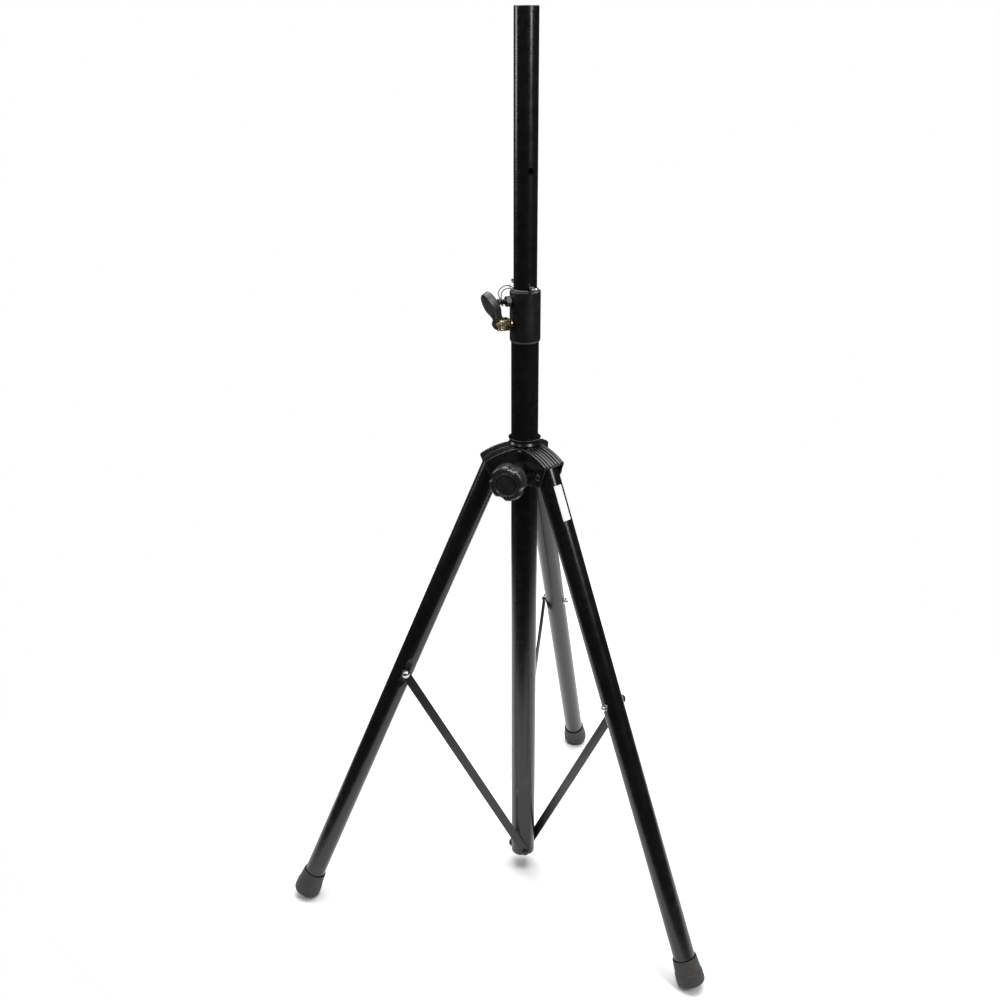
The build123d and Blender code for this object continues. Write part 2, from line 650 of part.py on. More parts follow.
# Knob: a grip with four broad lobes on a threaded stud
KNOB_BACK = 70.0
KNOB_FRONT = 99.0
KNOB_R = 28.0
KNOB_LOBES = 4
KNOB_NOTCH = 70.0
SCALLOP_R = 12.0
SCALLOP_AT = 36.5
KNOB_RECESS = 17.0
with BuildPart() as knob_stud:
    radial_rod(KNOB_AZIMUTH, KNOB_Z, STUD_R, 28, KNOB_BACK + 16)
save(knob_stud, "knob_stud")

with BuildPart() as hub_knob:
    with BuildSketch(facing(KNOB_AZIMUTH, KNOB_Z, KNOB_BACK + 4)) as grip:
        Circle(KNOB_R)
        with PolarLocations(SCALLOP_AT, KNOB_LOBES, start_angle=KNOB_NOTCH):
            Circle(SCALLOP_R, mode=Mode.SUBTRACT)
        fillet(grip.vertices(), 3.5)
    extrude(amount=KNOB_FRONT - KNOB_BACK - 4)
    fillet(hub_knob.edges().group_by(Axis.Y)[0], 2.4)
    with BuildSketch(facing(KNOB_AZIMUTH, KNOB_Z, KNOB_BACK - 2)):
        Circle(14)
    extrude(amount=8, taper=-12)
    with BuildSketch(facing(KNOB_AZIMUTH, KNOB_Z, KNOB_FRONT)):
        Circle(KNOB_RECESS)
    extrude(amount=-2.0, mode=Mode.SUBTRACT)
    radial_rod(KNOB_AZIMUTH, KNOB_Z, STUD_R, 20, KNOB_BACK + 16, Mode.SUBTRACT)
save(hub_knob, "hub_knob")

with BuildPart() as knob_cap:
    radial_rod(KNOB_AZIMUTH, KNOB_Z, KNOB_RECESS - 1.6, KNOB_FRONT - 2, KNOB_FRONT - 0.6)
    fillet(knob_cap.edges().group_by(Axis.Y)[0], 0.6)
save(knob_cap, "knob_cap")

# ---------------------------------------------------------------- legs
DENT_DEPTH = 0.9
DENT_HALF = 15.0
DENT_RUNOUT = 12.0
LEG_FLAT = LEG_R - DENT_DEPTH


def dent_cutter(azimuth, distance):
    """The stock that the pressed seat of a strut removes from the side of a leg."""
    centre = leg_plane(azimuth, LEG_PIVOT)
    side = Plane(origin=centre.origin, x_dir=centre.z_dir, z_dir=centre.z_dir.cross(centre.x_dir))
    slope = (LEG_R - LEG_FLAT) / DENT_RUNOUT
    reach = LEG_R - distance + 2
    with BuildPart(mode=Mode.PRIVATE) as cutter:
        with BuildSketch(side):
            with BuildLine():
                Polyline(
                    (-DENT_HALF, distance),
                    (DENT_HALF, distance),
                    (DENT_HALF + reach / slope, distance + reach),
                    (-DENT_HALF - reach / slope, distance + reach),
                    close=True,
                )
            make_face()
        extrude(amount=LEG_R, both=True)
    return cutter.part


def leg_tube(azimuth):
    """Round steel tube with a pressed seat for the strut and holes for its two bolts."""
    length = LEG_TUBE_END + LEG_TOP
    with BuildPart() as cavity:
        with BuildSketch(leg_plane(azimuth, -LEG_TOP - 1)):
            Circle(LEG_BORE)
        extrude(amount=length + 2)
        add(dent_cutter(azimuth, LEG_FLAT - LEG_WALL), mode=Mode.SUBTRACT)
    with BuildPart() as tube:
        with BuildSketch(leg_plane(azimuth, -LEG_TOP)):
            Circle(LEG_R)
        extrude(amount=length)
        add(dent_cutter(azimuth, LEG_FLAT), mode=Mode.SUBTRACT)
        add(cavity.part, mode=Mode.SUBTRACT)
        cross_rod(azimuth, HINGE_RADIUS, HINGE_Z, BOLT_R + PIVOT_GAP, -30, 30, Mode.SUBTRACT)
        cross_rod(azimuth, BOLT_RADIUS, STRUT_PIVOT_Z + BOLT_RISE, BOLT_R, -30, 30, Mode.SUBTRACT)
    return tube


def leg_plug(azimuth):
    """Moulded plug in the leg's top, bored for the hinge bolt."""
    with BuildPart() as plug:
        with BuildSketch(leg_plane(azimuth, -LEG_TOP)):
            Circle(LEG_BORE)
        extrude(amount=26)
        with BuildSketch(leg_plane(azimuth, -LEG_TOP)):
            Circle(LEG_R - 0.5)
        extrude(amount=-1.5)
        cross_rod(azimuth, HINGE_RADIUS, HINGE_Z, BOLT_R + PIVOT_GAP, -30, 30, Mode.SUBTRACT)
    return plug


def leg_foot(azimuth):
    """Stepped rubber foot, pushed over the end of the tube."""
    across = outward(azimuth + 90)
    end = leg_plane(azimuth, 0)
    section = Plane(origin=end.origin, x_dir=end.z_dir, z_dir=end.z_dir.cross(across))
    step = FOOT_START + 24
    with BuildPart() as foot:
        with BuildSketch(section):
            with BuildLine():
                Polyline(
                    (FOOT_START + 1.6, LEG_R),
                    (FOOT_START, LEG_R + 0.9),
                    (FOOT_START, 19.6),
                    (step, 21.6),
                    (step, 22.4),
                    (FOOT_END - FOOT_EDGE, FOOT_R),
                )
                ThreePointArc(
                    (FOOT_END - FOOT_EDGE, FOOT_R),
                    (FOOT_END - FOOT_EDGE + FOOT_EDGE * sin(radians(45)),
                     FOOT_R - FOOT_EDGE + FOOT_EDGE * cos(radians(45))),
                    (FOOT_END, FOOT_R - FOOT_EDGE),
                )
                Polyline(
                    (FOOT_END, FOOT_R - FOOT_EDGE),
                    (FOOT_END, 0),
                    (LEG_TUBE_END, 0),
                    (LEG_TUBE_END, LEG_R),
                    (FOOT_START + 1.6, LEG_R),
                )
            make_face()
        revolve(axis=Axis(end.origin, end.z_dir))
    return foot


NUT_FACE = LEG_R + 0.6
SEAT_R = 5.0


def leg_bolt(azimuth):
    """Shank of the strut bolt inside the leg, with a washer in the pressed seat."""
    height = STRUT_PIVOT_Z + BOLT_RISE
    with BuildPart() as bolt:
        cross_rod(azimuth, BOLT_RADIUS, height, BOLT_R, -NUT_FACE - 7, LEG_FLAT)
        cross_rod(azimuth, BOLT_RADIUS, height, SEAT_R, LEG_FLAT, LEG_R)
    return bolt


def leg_nut(azimuth):
    """Nut and washer on the far side of the leg."""
    height = STRUT_PIVOT_Z + BOLT_RISE
    origin = facing(azimuth, height, BOLT_RADIUS, -NUT_FACE).origin
    with BuildPart() as nut:
        with BuildSketch(Plane(origin=origin, x_dir=Vector(0, 0, 1), z_dir=-outward(azimuth + 90))):
            RegularPolygon(5.5, 6)
        extrude(amount=5)
        cross_rod(azimuth, BOLT_RADIUS, height, 5.4, -NUT_FACE, -LEG_R + 0.5)
        add(leg_tube_solids[azimuth], mode=Mode.SUBTRACT)
        cross_rod(azimuth, BOLT_RADIUS, height, BOLT_R, -40, 0, Mode.SUBTRACT)
    return nut


leg_tube_solids = {}
for number, leg_azimuth in enumerate(LEG_AZIMUTHS, 1):
    tube = leg_tube(leg_azimuth)
    save(tube, f"leg_tube_{number}")
    with BuildPart(mode=Mode.PRIVATE) as filled_leg:
        with BuildSketch(leg_plane(leg_azimuth, 0)):
            Circle(LEG_R)
        extrude(amount=LEG_TUBE_END)
    leg_tube_solids[leg_azimuth] = filled_leg.part
    save(leg_plug(leg_azimuth), f"leg_plug_{number}")
    save(leg_foot(leg_azimuth), f"leg_foot_{number}")
    save(leg_bolt(leg_azimuth), f"leg_bolt_{number}")
    save(leg_nut(leg_azimuth), f"leg_nut_{number}")

# Plain label on the third leg, facing outward and up
LABEL_START = 19.5
LABEL_LENGTH = 56.0
LABEL_ANGLE = -7.0
LABEL_HALF = 23.4
LABEL_THICK = 0.25
with BuildPart() as leg_label:
    top = leg_plane(LEG_AZIMUTHS[2], LABEL_START)
    outer_up = top.z_dir.cross(top.x_dir)
    ring = Plane(origin=top.origin, x_dir=outer_up, z_dir=top.z_dir)
    with BuildSketch(ring):
        with BuildLine():
            outer = LEG_R + LABEL_THICK
            low, high = LABEL_ANGLE - LABEL_HALF, LABEL_ANGLE + LABEL_HALF
            CenterArc((0, 0), LEG_R, -high, high - low)
            CenterArc((0, 0), outer, -high, high - low)
            for edge_angle in (-low, -high):
                turn = radians(edge_angle)
                Line(
                    (LEG_R * cos(turn), LEG_R * sin(turn)), (outer * cos(turn), outer * sin(turn))
                )
        make_face()
    extrude(amount=LABEL_LENGTH)
save(leg_label, "leg_label")

# ---------------------------------------------------------------- struts
SPACER_R = 6.5


def strut(azimuth):
    """Flat bar with rounded ends, from the column's foot up to the leg."""
    lean = radians(STRUT_LEAN)
    plane = radial_plane(azimuth, STRUT_INNER)
    middle = (STRUT_LENGTH / 2 * sin(lean), STRUT_PIVOT_Z + STRUT_LENGTH / 2 * cos(lean))
    with BuildPart() as bar:
        with BuildSketch(plane):
            with Locations(Location(middle, 90 - STRUT_LEAN)):
                SlotCenterToCenter(STRUT_LENGTH, STRUT_WIDTH)
            with Locations((0, STRUT_PIVOT_Z)):
                Circle(BOLT_R + PIVOT_GAP, mode=Mode.SUBTRACT)
            with Locations((BOLT_RADIUS, STRUT_PIVOT_Z + BOLT_RISE)):
                Circle(BOLT_R, mode=Mode.SUBTRACT)
        extrude(amount=-STRUT_THICK)
    return bar


def strut_rivet(azimuth):
    """Domed rivet with a spacer, at the strut's end on the leg."""
    height = STRUT_PIVOT_Z + BOLT_RISE
    with BuildPart() as rivet:
        cross_rod(azimuth, BOLT_RADIUS, height, SPACER_R, SPACER_FACE, STRUT_INNER)
        cross_rod(azimuth, BOLT_RADIUS, height, BOLT_R, STRUT_INNER, STRUT_OUTER)
        cross_rod(azimuth, BOLT_RADIUS, height, SPACER_R, STRUT_OUTER, STRUT_OUTER + 0.8)
        domed_head(azimuth, BOLT_RADIUS, height, STRUT_OUTER + 0.8)
    return rivet


for number, leg_azimuth in enumerate(LEG_AZIMUTHS, 1):
    save(strut(leg_azimuth), f"strut_{number}")
    save(strut_rivet(leg_azimuth), f"strut_rivet_{number}")

print("hinge height", round(HINGE_Z, 3), "strut length", round(STRUT_LENGTH, 3))
print("strut bolt radius", round(BOLT_RADIUS, 3), "height", round(STRUT_PIVOT_Z + BOLT_RISE, 3))
print("strut lean", round(STRUT_LEAN, 4), "folded", round(STRUT_FOLDED, 4))
print("fold travel", round(FOLD_TRAVEL, 4), "pin height", round(PIN_Z, 3))
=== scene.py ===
import math

import bmesh
import bpy
from mathutils import Matrix, Vector


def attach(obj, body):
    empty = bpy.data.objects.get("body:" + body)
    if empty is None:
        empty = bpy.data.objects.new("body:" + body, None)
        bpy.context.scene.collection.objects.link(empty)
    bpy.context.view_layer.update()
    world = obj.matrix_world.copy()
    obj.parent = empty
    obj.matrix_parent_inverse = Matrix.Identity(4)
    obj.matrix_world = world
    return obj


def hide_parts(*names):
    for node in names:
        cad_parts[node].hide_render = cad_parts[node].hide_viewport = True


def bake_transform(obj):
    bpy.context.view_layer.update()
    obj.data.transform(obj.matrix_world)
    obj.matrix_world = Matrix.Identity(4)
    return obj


# Loudspeaker tripod stand. Lengths in the shape code are millimetres, scaled on the way
# into Blender; the camera, lights, textures and lanyard points are metres.
MM = 0.001
TAU = 2 * math.pi

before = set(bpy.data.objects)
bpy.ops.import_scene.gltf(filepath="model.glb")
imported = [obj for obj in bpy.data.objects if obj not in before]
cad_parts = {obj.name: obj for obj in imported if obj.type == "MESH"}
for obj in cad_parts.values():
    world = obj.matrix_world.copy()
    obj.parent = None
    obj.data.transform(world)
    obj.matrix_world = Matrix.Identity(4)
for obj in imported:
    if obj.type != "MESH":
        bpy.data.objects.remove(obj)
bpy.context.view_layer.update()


scene = bpy.context.scene

# ---------------------------------------------------------------- dimensions of the CAD
MAST_R = 17.5
COLUMN_R = 21.0
COLUMN_LOW, COLUMN_TOP = 28.0, 1058.0
COLUMN_WALL = 1.5
LEG_R = 17.5
LEG_AZIMUTHS = (90.0, 210.0, 330.0)
SPREAD = math.radians(23.8)
HINGE_RADIUS = 53.0
HINGE_Z = 784.409
LEG_TOP, LEG_TUBE_END = -8.0, 843.0
LEG_PIVOT = 375.0
FOOT_START, FOOT_END = 805.0, 849.0
STRUT_BOTTOM = 36.5
STRUT_INNER, STRUT_OUTER = 19.2, 22.2
STRUT_RADIUS, STRUT_HEIGHT = 204.329, 441.299
KNOB_AZIMUTH, KNOB_Z = 270.0, HINGE_Z + 4.0
CLAMP_AZIMUTH, CLAMP_Z = 220.0, 1014.0
SCREW_AZIMUTH, SCREW_Z = 217.0, 1047.0
PIN_AZIMUTH, PIN_Z = 132.0, 1067.9
LEVER_PIVOT_R = 42.0
ARM_HALF, ARM_IN = 20.4, 18.2
UP = Vector((0, 0, 1))


# ---------------------------------------------------------------- camera and stage
HEADING, PITCH, ROLL = math.radians(-17.99), math.radians(22.88), math.radians(-0.28)
CAMERA_PLACE = (0.4611, -1.5458, 1.4056)
LENS, SENSOR = 39.42, 36.0


def set_camera():
    """The camera at the photograph's viewing angle."""
    data = bpy.data.cameras.new("camera")
    data.lens, data.sensor_width = LENS, SENSOR
    data.clip_start, data.clip_end = 0.02, 60
    ahead = Vector((
        math.sin(HEADING) * math.cos(PITCH), math.cos(HEADING) * math.cos(PITCH), -math.sin(PITCH)
    ))
    level = Vector((math.cos(HEADING), -math.sin(HEADING), 0))
    over = level.cross(ahead)
    right = level * math.cos(ROLL) + over * math.sin(ROLL)
    above = over * math.cos(ROLL) - level * math.sin(ROLL)
    turn = Matrix((right, above, -ahead)).transposed().to_4x4()
    camera = bpy.data.objects.new("camera", data)
    camera.matrix_world = Matrix.Translation(CAMERA_PLACE) @ turn
    scene.collection.objects.link(camera)
    scene.camera = camera


def softbox(name, place, target, size, power):
    """A rectangular area light that faces a point."""
    data = bpy.data.lights.new(name, "AREA")
    data.shape = "RECTANGLE"
    data.size, data.size_y = size
    data.energy = power
    lamp = bpy.data.objects.new(name, data)
    aim = Vector(target) - Vector(place)
    turn = aim.to_track_quat("-Z", "Y").to_matrix().to_4x4()
    lamp.matrix_world = Matrix.Translation(place) @ turn
    scene.collection.objects.link(lamp)


set_camera()
scene.view_settings.view_transform = "Standard"

# ---------------------------------------------------------------- materials
looks = {}


class Look:
    """A node material: a Principled shader with helpers for its textures."""

    def __init__(self, name):
        self.material = bpy.data.materials.new(name)
        self.material.use_nodes = True
        self.tree = self.material.node_tree
        self.shader = self.tree.nodes["Principled BSDF"]
        self.place = self.tree.nodes.new("ShaderNodeTexCoord").outputs["Object"]
        self.height = None
        looks[name] = self.material

    def set(self, **values):
        for socket, value in values.items():
            self.shader.inputs[socket.replace("_", " ")].default_value = value

    def stretched(self, scale):
        node = self.tree.nodes.new("ShaderNodeMapping")
        node.inputs["Scale"].default_value = scale
        self.tree.links.new(self.place, node.inputs["Vector"])
        return node.outputs["Vector"]

    def noise(self, scale, detail=3.0, rough=0.55, vector=None, distortion=0.0):
        node = self.tree.nodes.new("ShaderNodeTexNoise")
        node.inputs["Scale"].default_value = scale
        node.inputs["Detail"].default_value = detail
        node.inputs["Roughness"].default_value = rough
        node.inputs["Distortion"].default_value = distortion
        self.tree.links.new(vector or self.place, node.inputs["Vector"])
        return node.outputs["Fac"]

    def cells(self, scale):
        node = self.tree.nodes.new("ShaderNodeTexVoronoi")
        node.inputs["Scale"].default_value = scale
        self.tree.links.new(self.place, node.inputs["Vector"])
        return node.outputs["Distance"]

    def span(self, value, low, high, from_low=0.3, from_high=0.7):
        node = self.tree.nodes.new("ShaderNodeMapRange")
        for socket, number in zip(("From Min", "From Max", "To Min", "To Max"),
                                  (from_low, from_high, low, high)):
            node.inputs[socket].default_value = number
        self.tree.links.new(value, node.inputs["Value"])
        return node.outputs["Result"]

    def times(self, first, second):
        node = self.tree.nodes.new("ShaderNodeMath")
        node.operation = "MULTIPLY"
        self.tree.links.new(first, node.inputs[0])
        self.tree.links.new(second, node.inputs[1])
        return node.outputs["Value"]

    def low_down(self, full, none):
        """1 below one height above the floor at rest, 0 above another."""
        node = self.tree.nodes.new("ShaderNodeSeparateXYZ")
        self.tree.links.new(self.place, node.inputs["Vector"])
        return self.span(node.outputs["Z"], 1.0, 0.0, full, none)

    def mix(self, amount, first, second):
        node = self.tree.nodes.new("ShaderNodeMix")
        node.data_type = "RGBA"
        self.tree.links.new(amount, node.inputs["Factor"])
        for socket, value in (("A", first), ("B", second)):
            target = [s for s in node.inputs if s.name == socket and s.type == "RGBA"][0]
            if isinstance(value, tuple):
                target.default_value = (*value, 1.0)
            else:
                self.tree.links.new(value, target)
        return [s for s in node.outputs if s.type == "RGBA"][0]

    def bump(self, value, distance, strength=1.0):
        node = self.tree.nodes.new("ShaderNodeBump")
        node.inputs["Strength"].default_value = strength
        node.inputs["Distance"].default_value = distance
        self.tree.links.new(value, node.inputs["Height"])
        if self.height is not None:
            self.tree.links.new(self.height, node.inputs["Normal"])
        self.height = node.outputs["Normal"]

    def finish(self, colour, rough):
        self.tree.links.new(colour, self.shader.inputs["Base Color"])
        self.tree.links.new(rough, self.shader.inputs["Roughness"])
        self.tree.links.new(self.height, self.shader.inputs["Normal"])


def grey(value, warm=0.0):
    """A grey, a little warmer or cooler."""
    return value * (1 + warm), value, value * (1 - warm)


def coating(name, dark, light, rough, peel, dust):
    """Powder coat or paint: orange peel, uneven sheen, handling marks and a little dust."""
    look = Look(name)
    broad = look.noise(9.0, 4.0)
    patches = look.noise(70.0, 5.0, 0.6)
    specks = look.span(look.noise(2600.0, 1.0), 0.0, 1.0, 0.66, 0.74)
    shade = look.mix(look.span(broad, 0.0, 1.0), grey(dark, 0.02), grey(light, 0.02))
    dusty = look.mix(look.span(patches, 0.0, dust, 0.45, 0.8), shade, grey(0.16, 0.04))
    colour = look.mix(look.span(specks, 0.0, 0.35, 0.0, 1.0), dusty, grey(light * 2.2, 0.03))
    sheen = look.span(patches, rough[0], rough[1], 0.3, 0.75)
    look.bump(look.noise(620.0, 2.0), peel)
    look.bump(look.noise(3400.0, 2.0, 0.6), peel * 0.3)
    look.bump(look.noise(300.0, 3.0, 0.7, look.stretched((1.0, 1.0, 0.06))), 0.00001)
    look.set(IOR=1.5, Specular_IOR_Level=0.5)
    look.finish(colour, sheen)


def moulding(name, dark, light, rough, grain, scale=1500.0):
    """Moulded plastic: fine spark-eroded grain, flow marks and rubbed patches."""
    look = Look(name)
    flow = look.noise(26.0, 4.0, 0.6, None, 1.2)
    rubbed = look.noise(110.0, 5.0, 0.65)
    shade = look.mix(look.span(flow, 0.0, 1.0), grey(dark, 0.02), grey(light, 0.04))
    colour = look.mix(look.span(rubbed, 0.0, 0.5, 0.55, 0.8), shade, grey(light * 1.7, 0.05))
    look.bump(look.cells(scale), grain)
    look.bump(look.noise(scale * 2.2, 2.0), grain * 0.5)
    look.bump(look.noise(60.0, 2.0), grain * 1.5)
    look.set(IOR=1.5)
    look.finish(colour, look.span(rubbed, rough[0], rough[1]))


def metal(name, dark, light, rough):
    """Plated or turned metal: brushed lines, stains and small dings."""
    look = Look(name)
    lines = look.noise(900.0, 3.0, 0.7, look.stretched((1.0, 1.0, 14.0)))
    stains = look.noise(240.0, 4.0, 0.6)
    colour = look.mix(look.span(stains, 0.0, 1.0), dark, light)
    look.bump(lines, 0.000012)
    look.bump(look.noise(1300.0, 2.0), 0.000008)
    look.set(Metallic=1.0)
    look.finish(colour, look.span(stains, rough[0], rough[1]))


coating("tube_black", 0.0022, 0.0038, (0.20, 0.30), 0.00002, 0.02)
coating("strut_black", 0.006, 0.010, (0.30, 0.42), 0.00003, 0.06)
coating("collar_black", 0.0026, 0.0055, (0.34, 0.48), 0.00005, 0.03)
moulding("moulded_black", 0.003, 0.006, (0.22, 0.36), 0.00002)
moulding("knob_black", 0.013, 0.026, (0.18, 0.30), 0.00002, 1900.0)
moulding("lever_black", 0.010, 0.017, (0.36, 0.46), 0.000008, 2600.0)
metal("bright_steel", grey(0.55, 0.01), grey(0.78, 0.01), (0.16, 0.34))
metal("dark_steel", grey(0.03, 0.02), grey(0.065, 0.02), (0.34, 0.5))
metal("bronze_steel", (0.12, 0.092, 0.048), (0.25, 0.205, 0.12), (0.24, 0.40))
metal("brass_insert", (0.62, 0.42, 0.14), (0.78, 0.58, 0.26), (0.22, 0.36))
metal("pin_brass", (0.46, 0.41, 0.29), (0.66, 0.61, 0.47), (0.22, 0.38))
moulding("wire_dark", 0.003, 0.007, (0.3, 0.42), 0.00001, 4000.0)


def rubber():
    """Moulded rubber: chalky, speckled with grit, scuffed low down."""
    look = Look("foot_rubber")
    broad = look.noise(45.0, 5.0, 0.65)
    grit = look.span(look.noise(1100.0, 3.0, 0.7), 0.0, 1.0, 0.5, 0.72)
    tread = look.times(look.noise(700.0, 2.0, 0.8), look.low_down(0.019, 0.026))
    shade = look.mix(look.span(broad, 0.0, 1.0), grey(0.014, 0.02), grey(0.034, 0.05))
    colour = look.mix(look.span(grit, 0.0, 0.45, 0.0, 1.0), shade, grey(0.10, 0.08))
    colour = look.mix(look.span(tread, 0.0, 0.55, 0.42, 0.6), colour, grey(0.004, 0.02))
    look.bump(look.noise(520.0, 4.0, 0.7), 0.00018)
    look.bump(tread, 0.0006)
    look.bump(look.cells(1500.0), 0.00005)
    look.set(IOR=1.48, Sheen_Weight=0.05)
    look.finish(colour, look.span(broad, 0.62, 0.82))


def nylon():
    """Off-white nylon: waxy, faintly streaked, dirty where it rubs."""
    look = Look("nylon_grey")
    streaks = look.noise(90.0, 4.0, 0.6, look.stretched((1.0, 1.0, 0.2)))
    dirt = look.noise(420.0, 4.0, 0.65)
    shade = look.mix(look.span(streaks, 0.0, 1.0), (0.035, 0.034, 0.032), (0.065, 0.063, 0.059))
    colour = look.mix(look.span(dirt, 0.0, 0.5, 0.55, 0.8), shade, (0.02, 0.019, 0.018))
    look.bump(look.noise(900.0, 3.0), 0.00003)
    look.set(IOR=1.53, Subsurface_Weight=0.12, Subsurface_Scale=0.002)
    look.finish(colour, look.span(streaks, 0.34, 0.5))


def paper():
    """Vinyl-faced label: white, barely mottled, with fine fibre."""
    look = Look("label_white")
    fibre = look.noise(1800.0, 4.0, 0.7, look.stretched((1.0, 3.0, 1.0)))
    tone = look.noise(60.0, 3.0)
    colour = look.mix(look.span(tone, 0.0, 1.0), (0.72, 0.72, 0.71), (0.82, 0.82, 0.80))
    look.bump(fibre, 0.00001)
    look.set(IOR=1.48, Coat_Weight=0.15)
    look.finish(colour, look.span(fibre, 0.36, 0.5))


rubber()
nylon()
paper()

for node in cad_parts.values():
    for holder in node.material_slots:
        holder.material = looks[holder.material.name.split(".")[0]]
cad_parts["lever_pin"].material_slots[0].material = looks["pin_brass"]


# ---------------------------------------------------------------- mesh helpers
def outward(azimuth):
    """Unit vector pointing away from the mast axis at an azimuth."""
    turn = math.radians(azimuth)
    return Vector((math.cos(turn), math.sin(turn), 0))


def place(origin, x_axis, y_axis, z_axis):
    """A matrix from three axes and an origin."""
    matrix = Matrix((x_axis, y_axis, z_axis)).transposed().to_4x4()
    matrix.translation = origin
    return matrix


def upright(height=0.0):
    """Axis up the mast."""
    return Matrix.Translation((0, 0, height))


def facing(azimuth, height):
    """Axis outward at an azimuth; local X is horizontal and local Y is up."""
    return place(UP * height, outward(azimuth + 90), UP, outward(azimuth))


def sideways(azimuth, along, height, way=1):
    """Axis square to a radial plane; local X is outward and local Y is up."""
    origin = outward(azimuth) * along + UP * height
    return place(origin, outward(azimuth), UP, outward(azimuth + 90) * way)


def down_leg(azimuth):
    """Axis down a leg from its hinge; local X is across the leg."""
    across = outward(azimuth + 90)
    down = outward(azimuth) * math.sin(SPREAD) - UP * math.cos(SPREAD)
    return place(outward(azimuth) * HINGE_RADIUS + UP * HINGE_Z, across, down.cross(across), down)


def smooth(value):
    """A smooth step from 0 to 1."""
    value = min(1.0, max(0.0, value))
    return value * value * (3 - 2 * value)


def curve_at(points, x):
    """A smooth curve through points, read at x."""
    if x <= points[0][0]:
        return points[0][1]
    if x >= points[-1][0]:
        return points[-1][1]
    slopes = []
    for i in range(len(points)):
        a, b = points[max(0, i - 1)], points[min(len(points) - 1, i + 1)]
        slopes.append((b[1] - a[1]) / (b[0] - a[0]))
    for (x0, y0), (x1, y1), m0, m1 in zip(points, points[1:], slopes, slopes[1:]):
        if x <= x1:
            span = x1 - x0
            t = (x - x0) / span
            return (
                (1 + 2 * t) * (1 - t) ** 2 * y0 + t * (1 - t) ** 2 * span * m0
                + t * t * (3 - 2 * t) * y1 + t * t * (t - 1) * span * m1
            )


def soften(points, radius, closed=False, parts=4):
    """A profile with rounded corners."""
    out = []
    last = len(points) - 1
    for i, point in enumerate(points):
        here = Vector(point)
        if not closed and i in (0, last):
            out.append(tuple(here))
            continue
        before = Vector(points[i - 1]) - here
        after = Vector(points[(i + 1) % len(points)]) - here
        a = here + before.normalized() * min(radius, 0.45 * before.length)
        b = here + after.normalized() * min(radius, 0.45 * after.length)
        for k in range(parts + 1):
            t = k / parts
            out.append(tuple(a.lerp(here, t).lerp(here.lerp(b, t), t)))
    return out


def shell(rings, loop=False):
    """Points and faces of a closed skin through rings; a ring of one point is a pole."""
    points, faces, starts = [], [], []
    for ring in rings:
        starts.append((len(points), len(ring)))
        points.extend(ring)
    pairs = list(zip(starts, starts[1:]))
    if loop:
        pairs.append((starts[-1], starts[0]))
    for (a, count_a), (b, count_b) in pairs:
        count = max(count_a, count_b)
        for i in range(count):
            j = (i + 1) % count
            if count_a == 1:
                faces.append((a, b + j, b + i))
            elif count_b == 1:
                faces.append((a + i, a + j, b))
            else:
                faces.append((a + i, a + j, b + j, b + i))
    if not loop:
        for start, count in (starts[0], starts[-1]):
            if count > 1:
                faces.append(tuple(range(start, start + count)))
    return points, faces


def lathe(profile, where, steps=72, loop=False, shape=None):
    """A turned shape: (radius, height) points about the local Z axis."""
    rings = []
    for radius, height in profile:
        if radius < 0.01:
            rings.append([where @ Vector((0, 0, height))])
            continue
        ring = []
        for i in range(steps):
            turn = TAU * i / steps
            reach = shape(turn, radius, height) if shape else radius
            ring.append(where @ Vector((reach * math.cos(turn), reach * math.sin(turn), height)))
        rings.append(ring)
    return shell(rings, loop)


def inset(outline, by):
    """An outline moved inward."""
    count = len(outline)
    area = sum(a[0] * b[1] - b[0] * a[1] for a, b in zip(outline, [*outline[1:], outline[0]]))
    side = 1 if area > 0 else -1
    moved = []
    for i in range(count):
        here = Vector(outline[i][:2])
        before = (here - Vector(outline[i - 1][:2])).normalized()
        after = (Vector(outline[(i + 1) % count][:2]) - here).normalized()
        first = Vector((-before.y, before.x)) * side
        second = Vector((-after.y, after.x)) * side
        moved.append(here + (first + second) * (by / max(0.4, 1 + first.dot(second))))
    return moved


def slab(outline, low, high, where, edge=0.5, parts=3):
    """A plate with rounded edges, between two local heights."""
    levels = []
    for k in range(parts + 1):
        turn = math.pi / 2 * k / parts
        levels.append((edge * (1 - math.sin(turn)), low + edge * (1 - math.cos(turn))))
    levels += [(by, low + high - height) for by, height in reversed(levels)]
    rings = [[where @ Vector((x, y, height)) for x, y in inset(outline, by)]
             for by, height in levels]
    return shell(rings)


UNCUT, CHAMFER_SLOPE = 99, 0.58


def hexagon(where, corner, low, high, steps=48):
    """A nut or a bolt head with chamfered corners at its high end."""
    flat = corner * math.cos(math.pi / 6)

    def reach(turn):
        return flat / math.cos((turn % (TAU / 6)) - math.pi / 6)

    def ring(limit, height, slope):
        points = []
        for i in range(steps):
            turn = TAU * i / steps
            size = reach(turn)
            drop = max(0.0, size - limit) * slope
            size = min(size, limit) if slope == 0 else size
            spot = Vector((size * math.cos(turn), size * math.sin(turn), height - drop))
            points.append(where @ spot)
        return points

    return shell([ring(UNCUT, low, 0), ring(flat, high, CHAMFER_SLOPE),
                  ring(flat - 0.05, high, 0)])


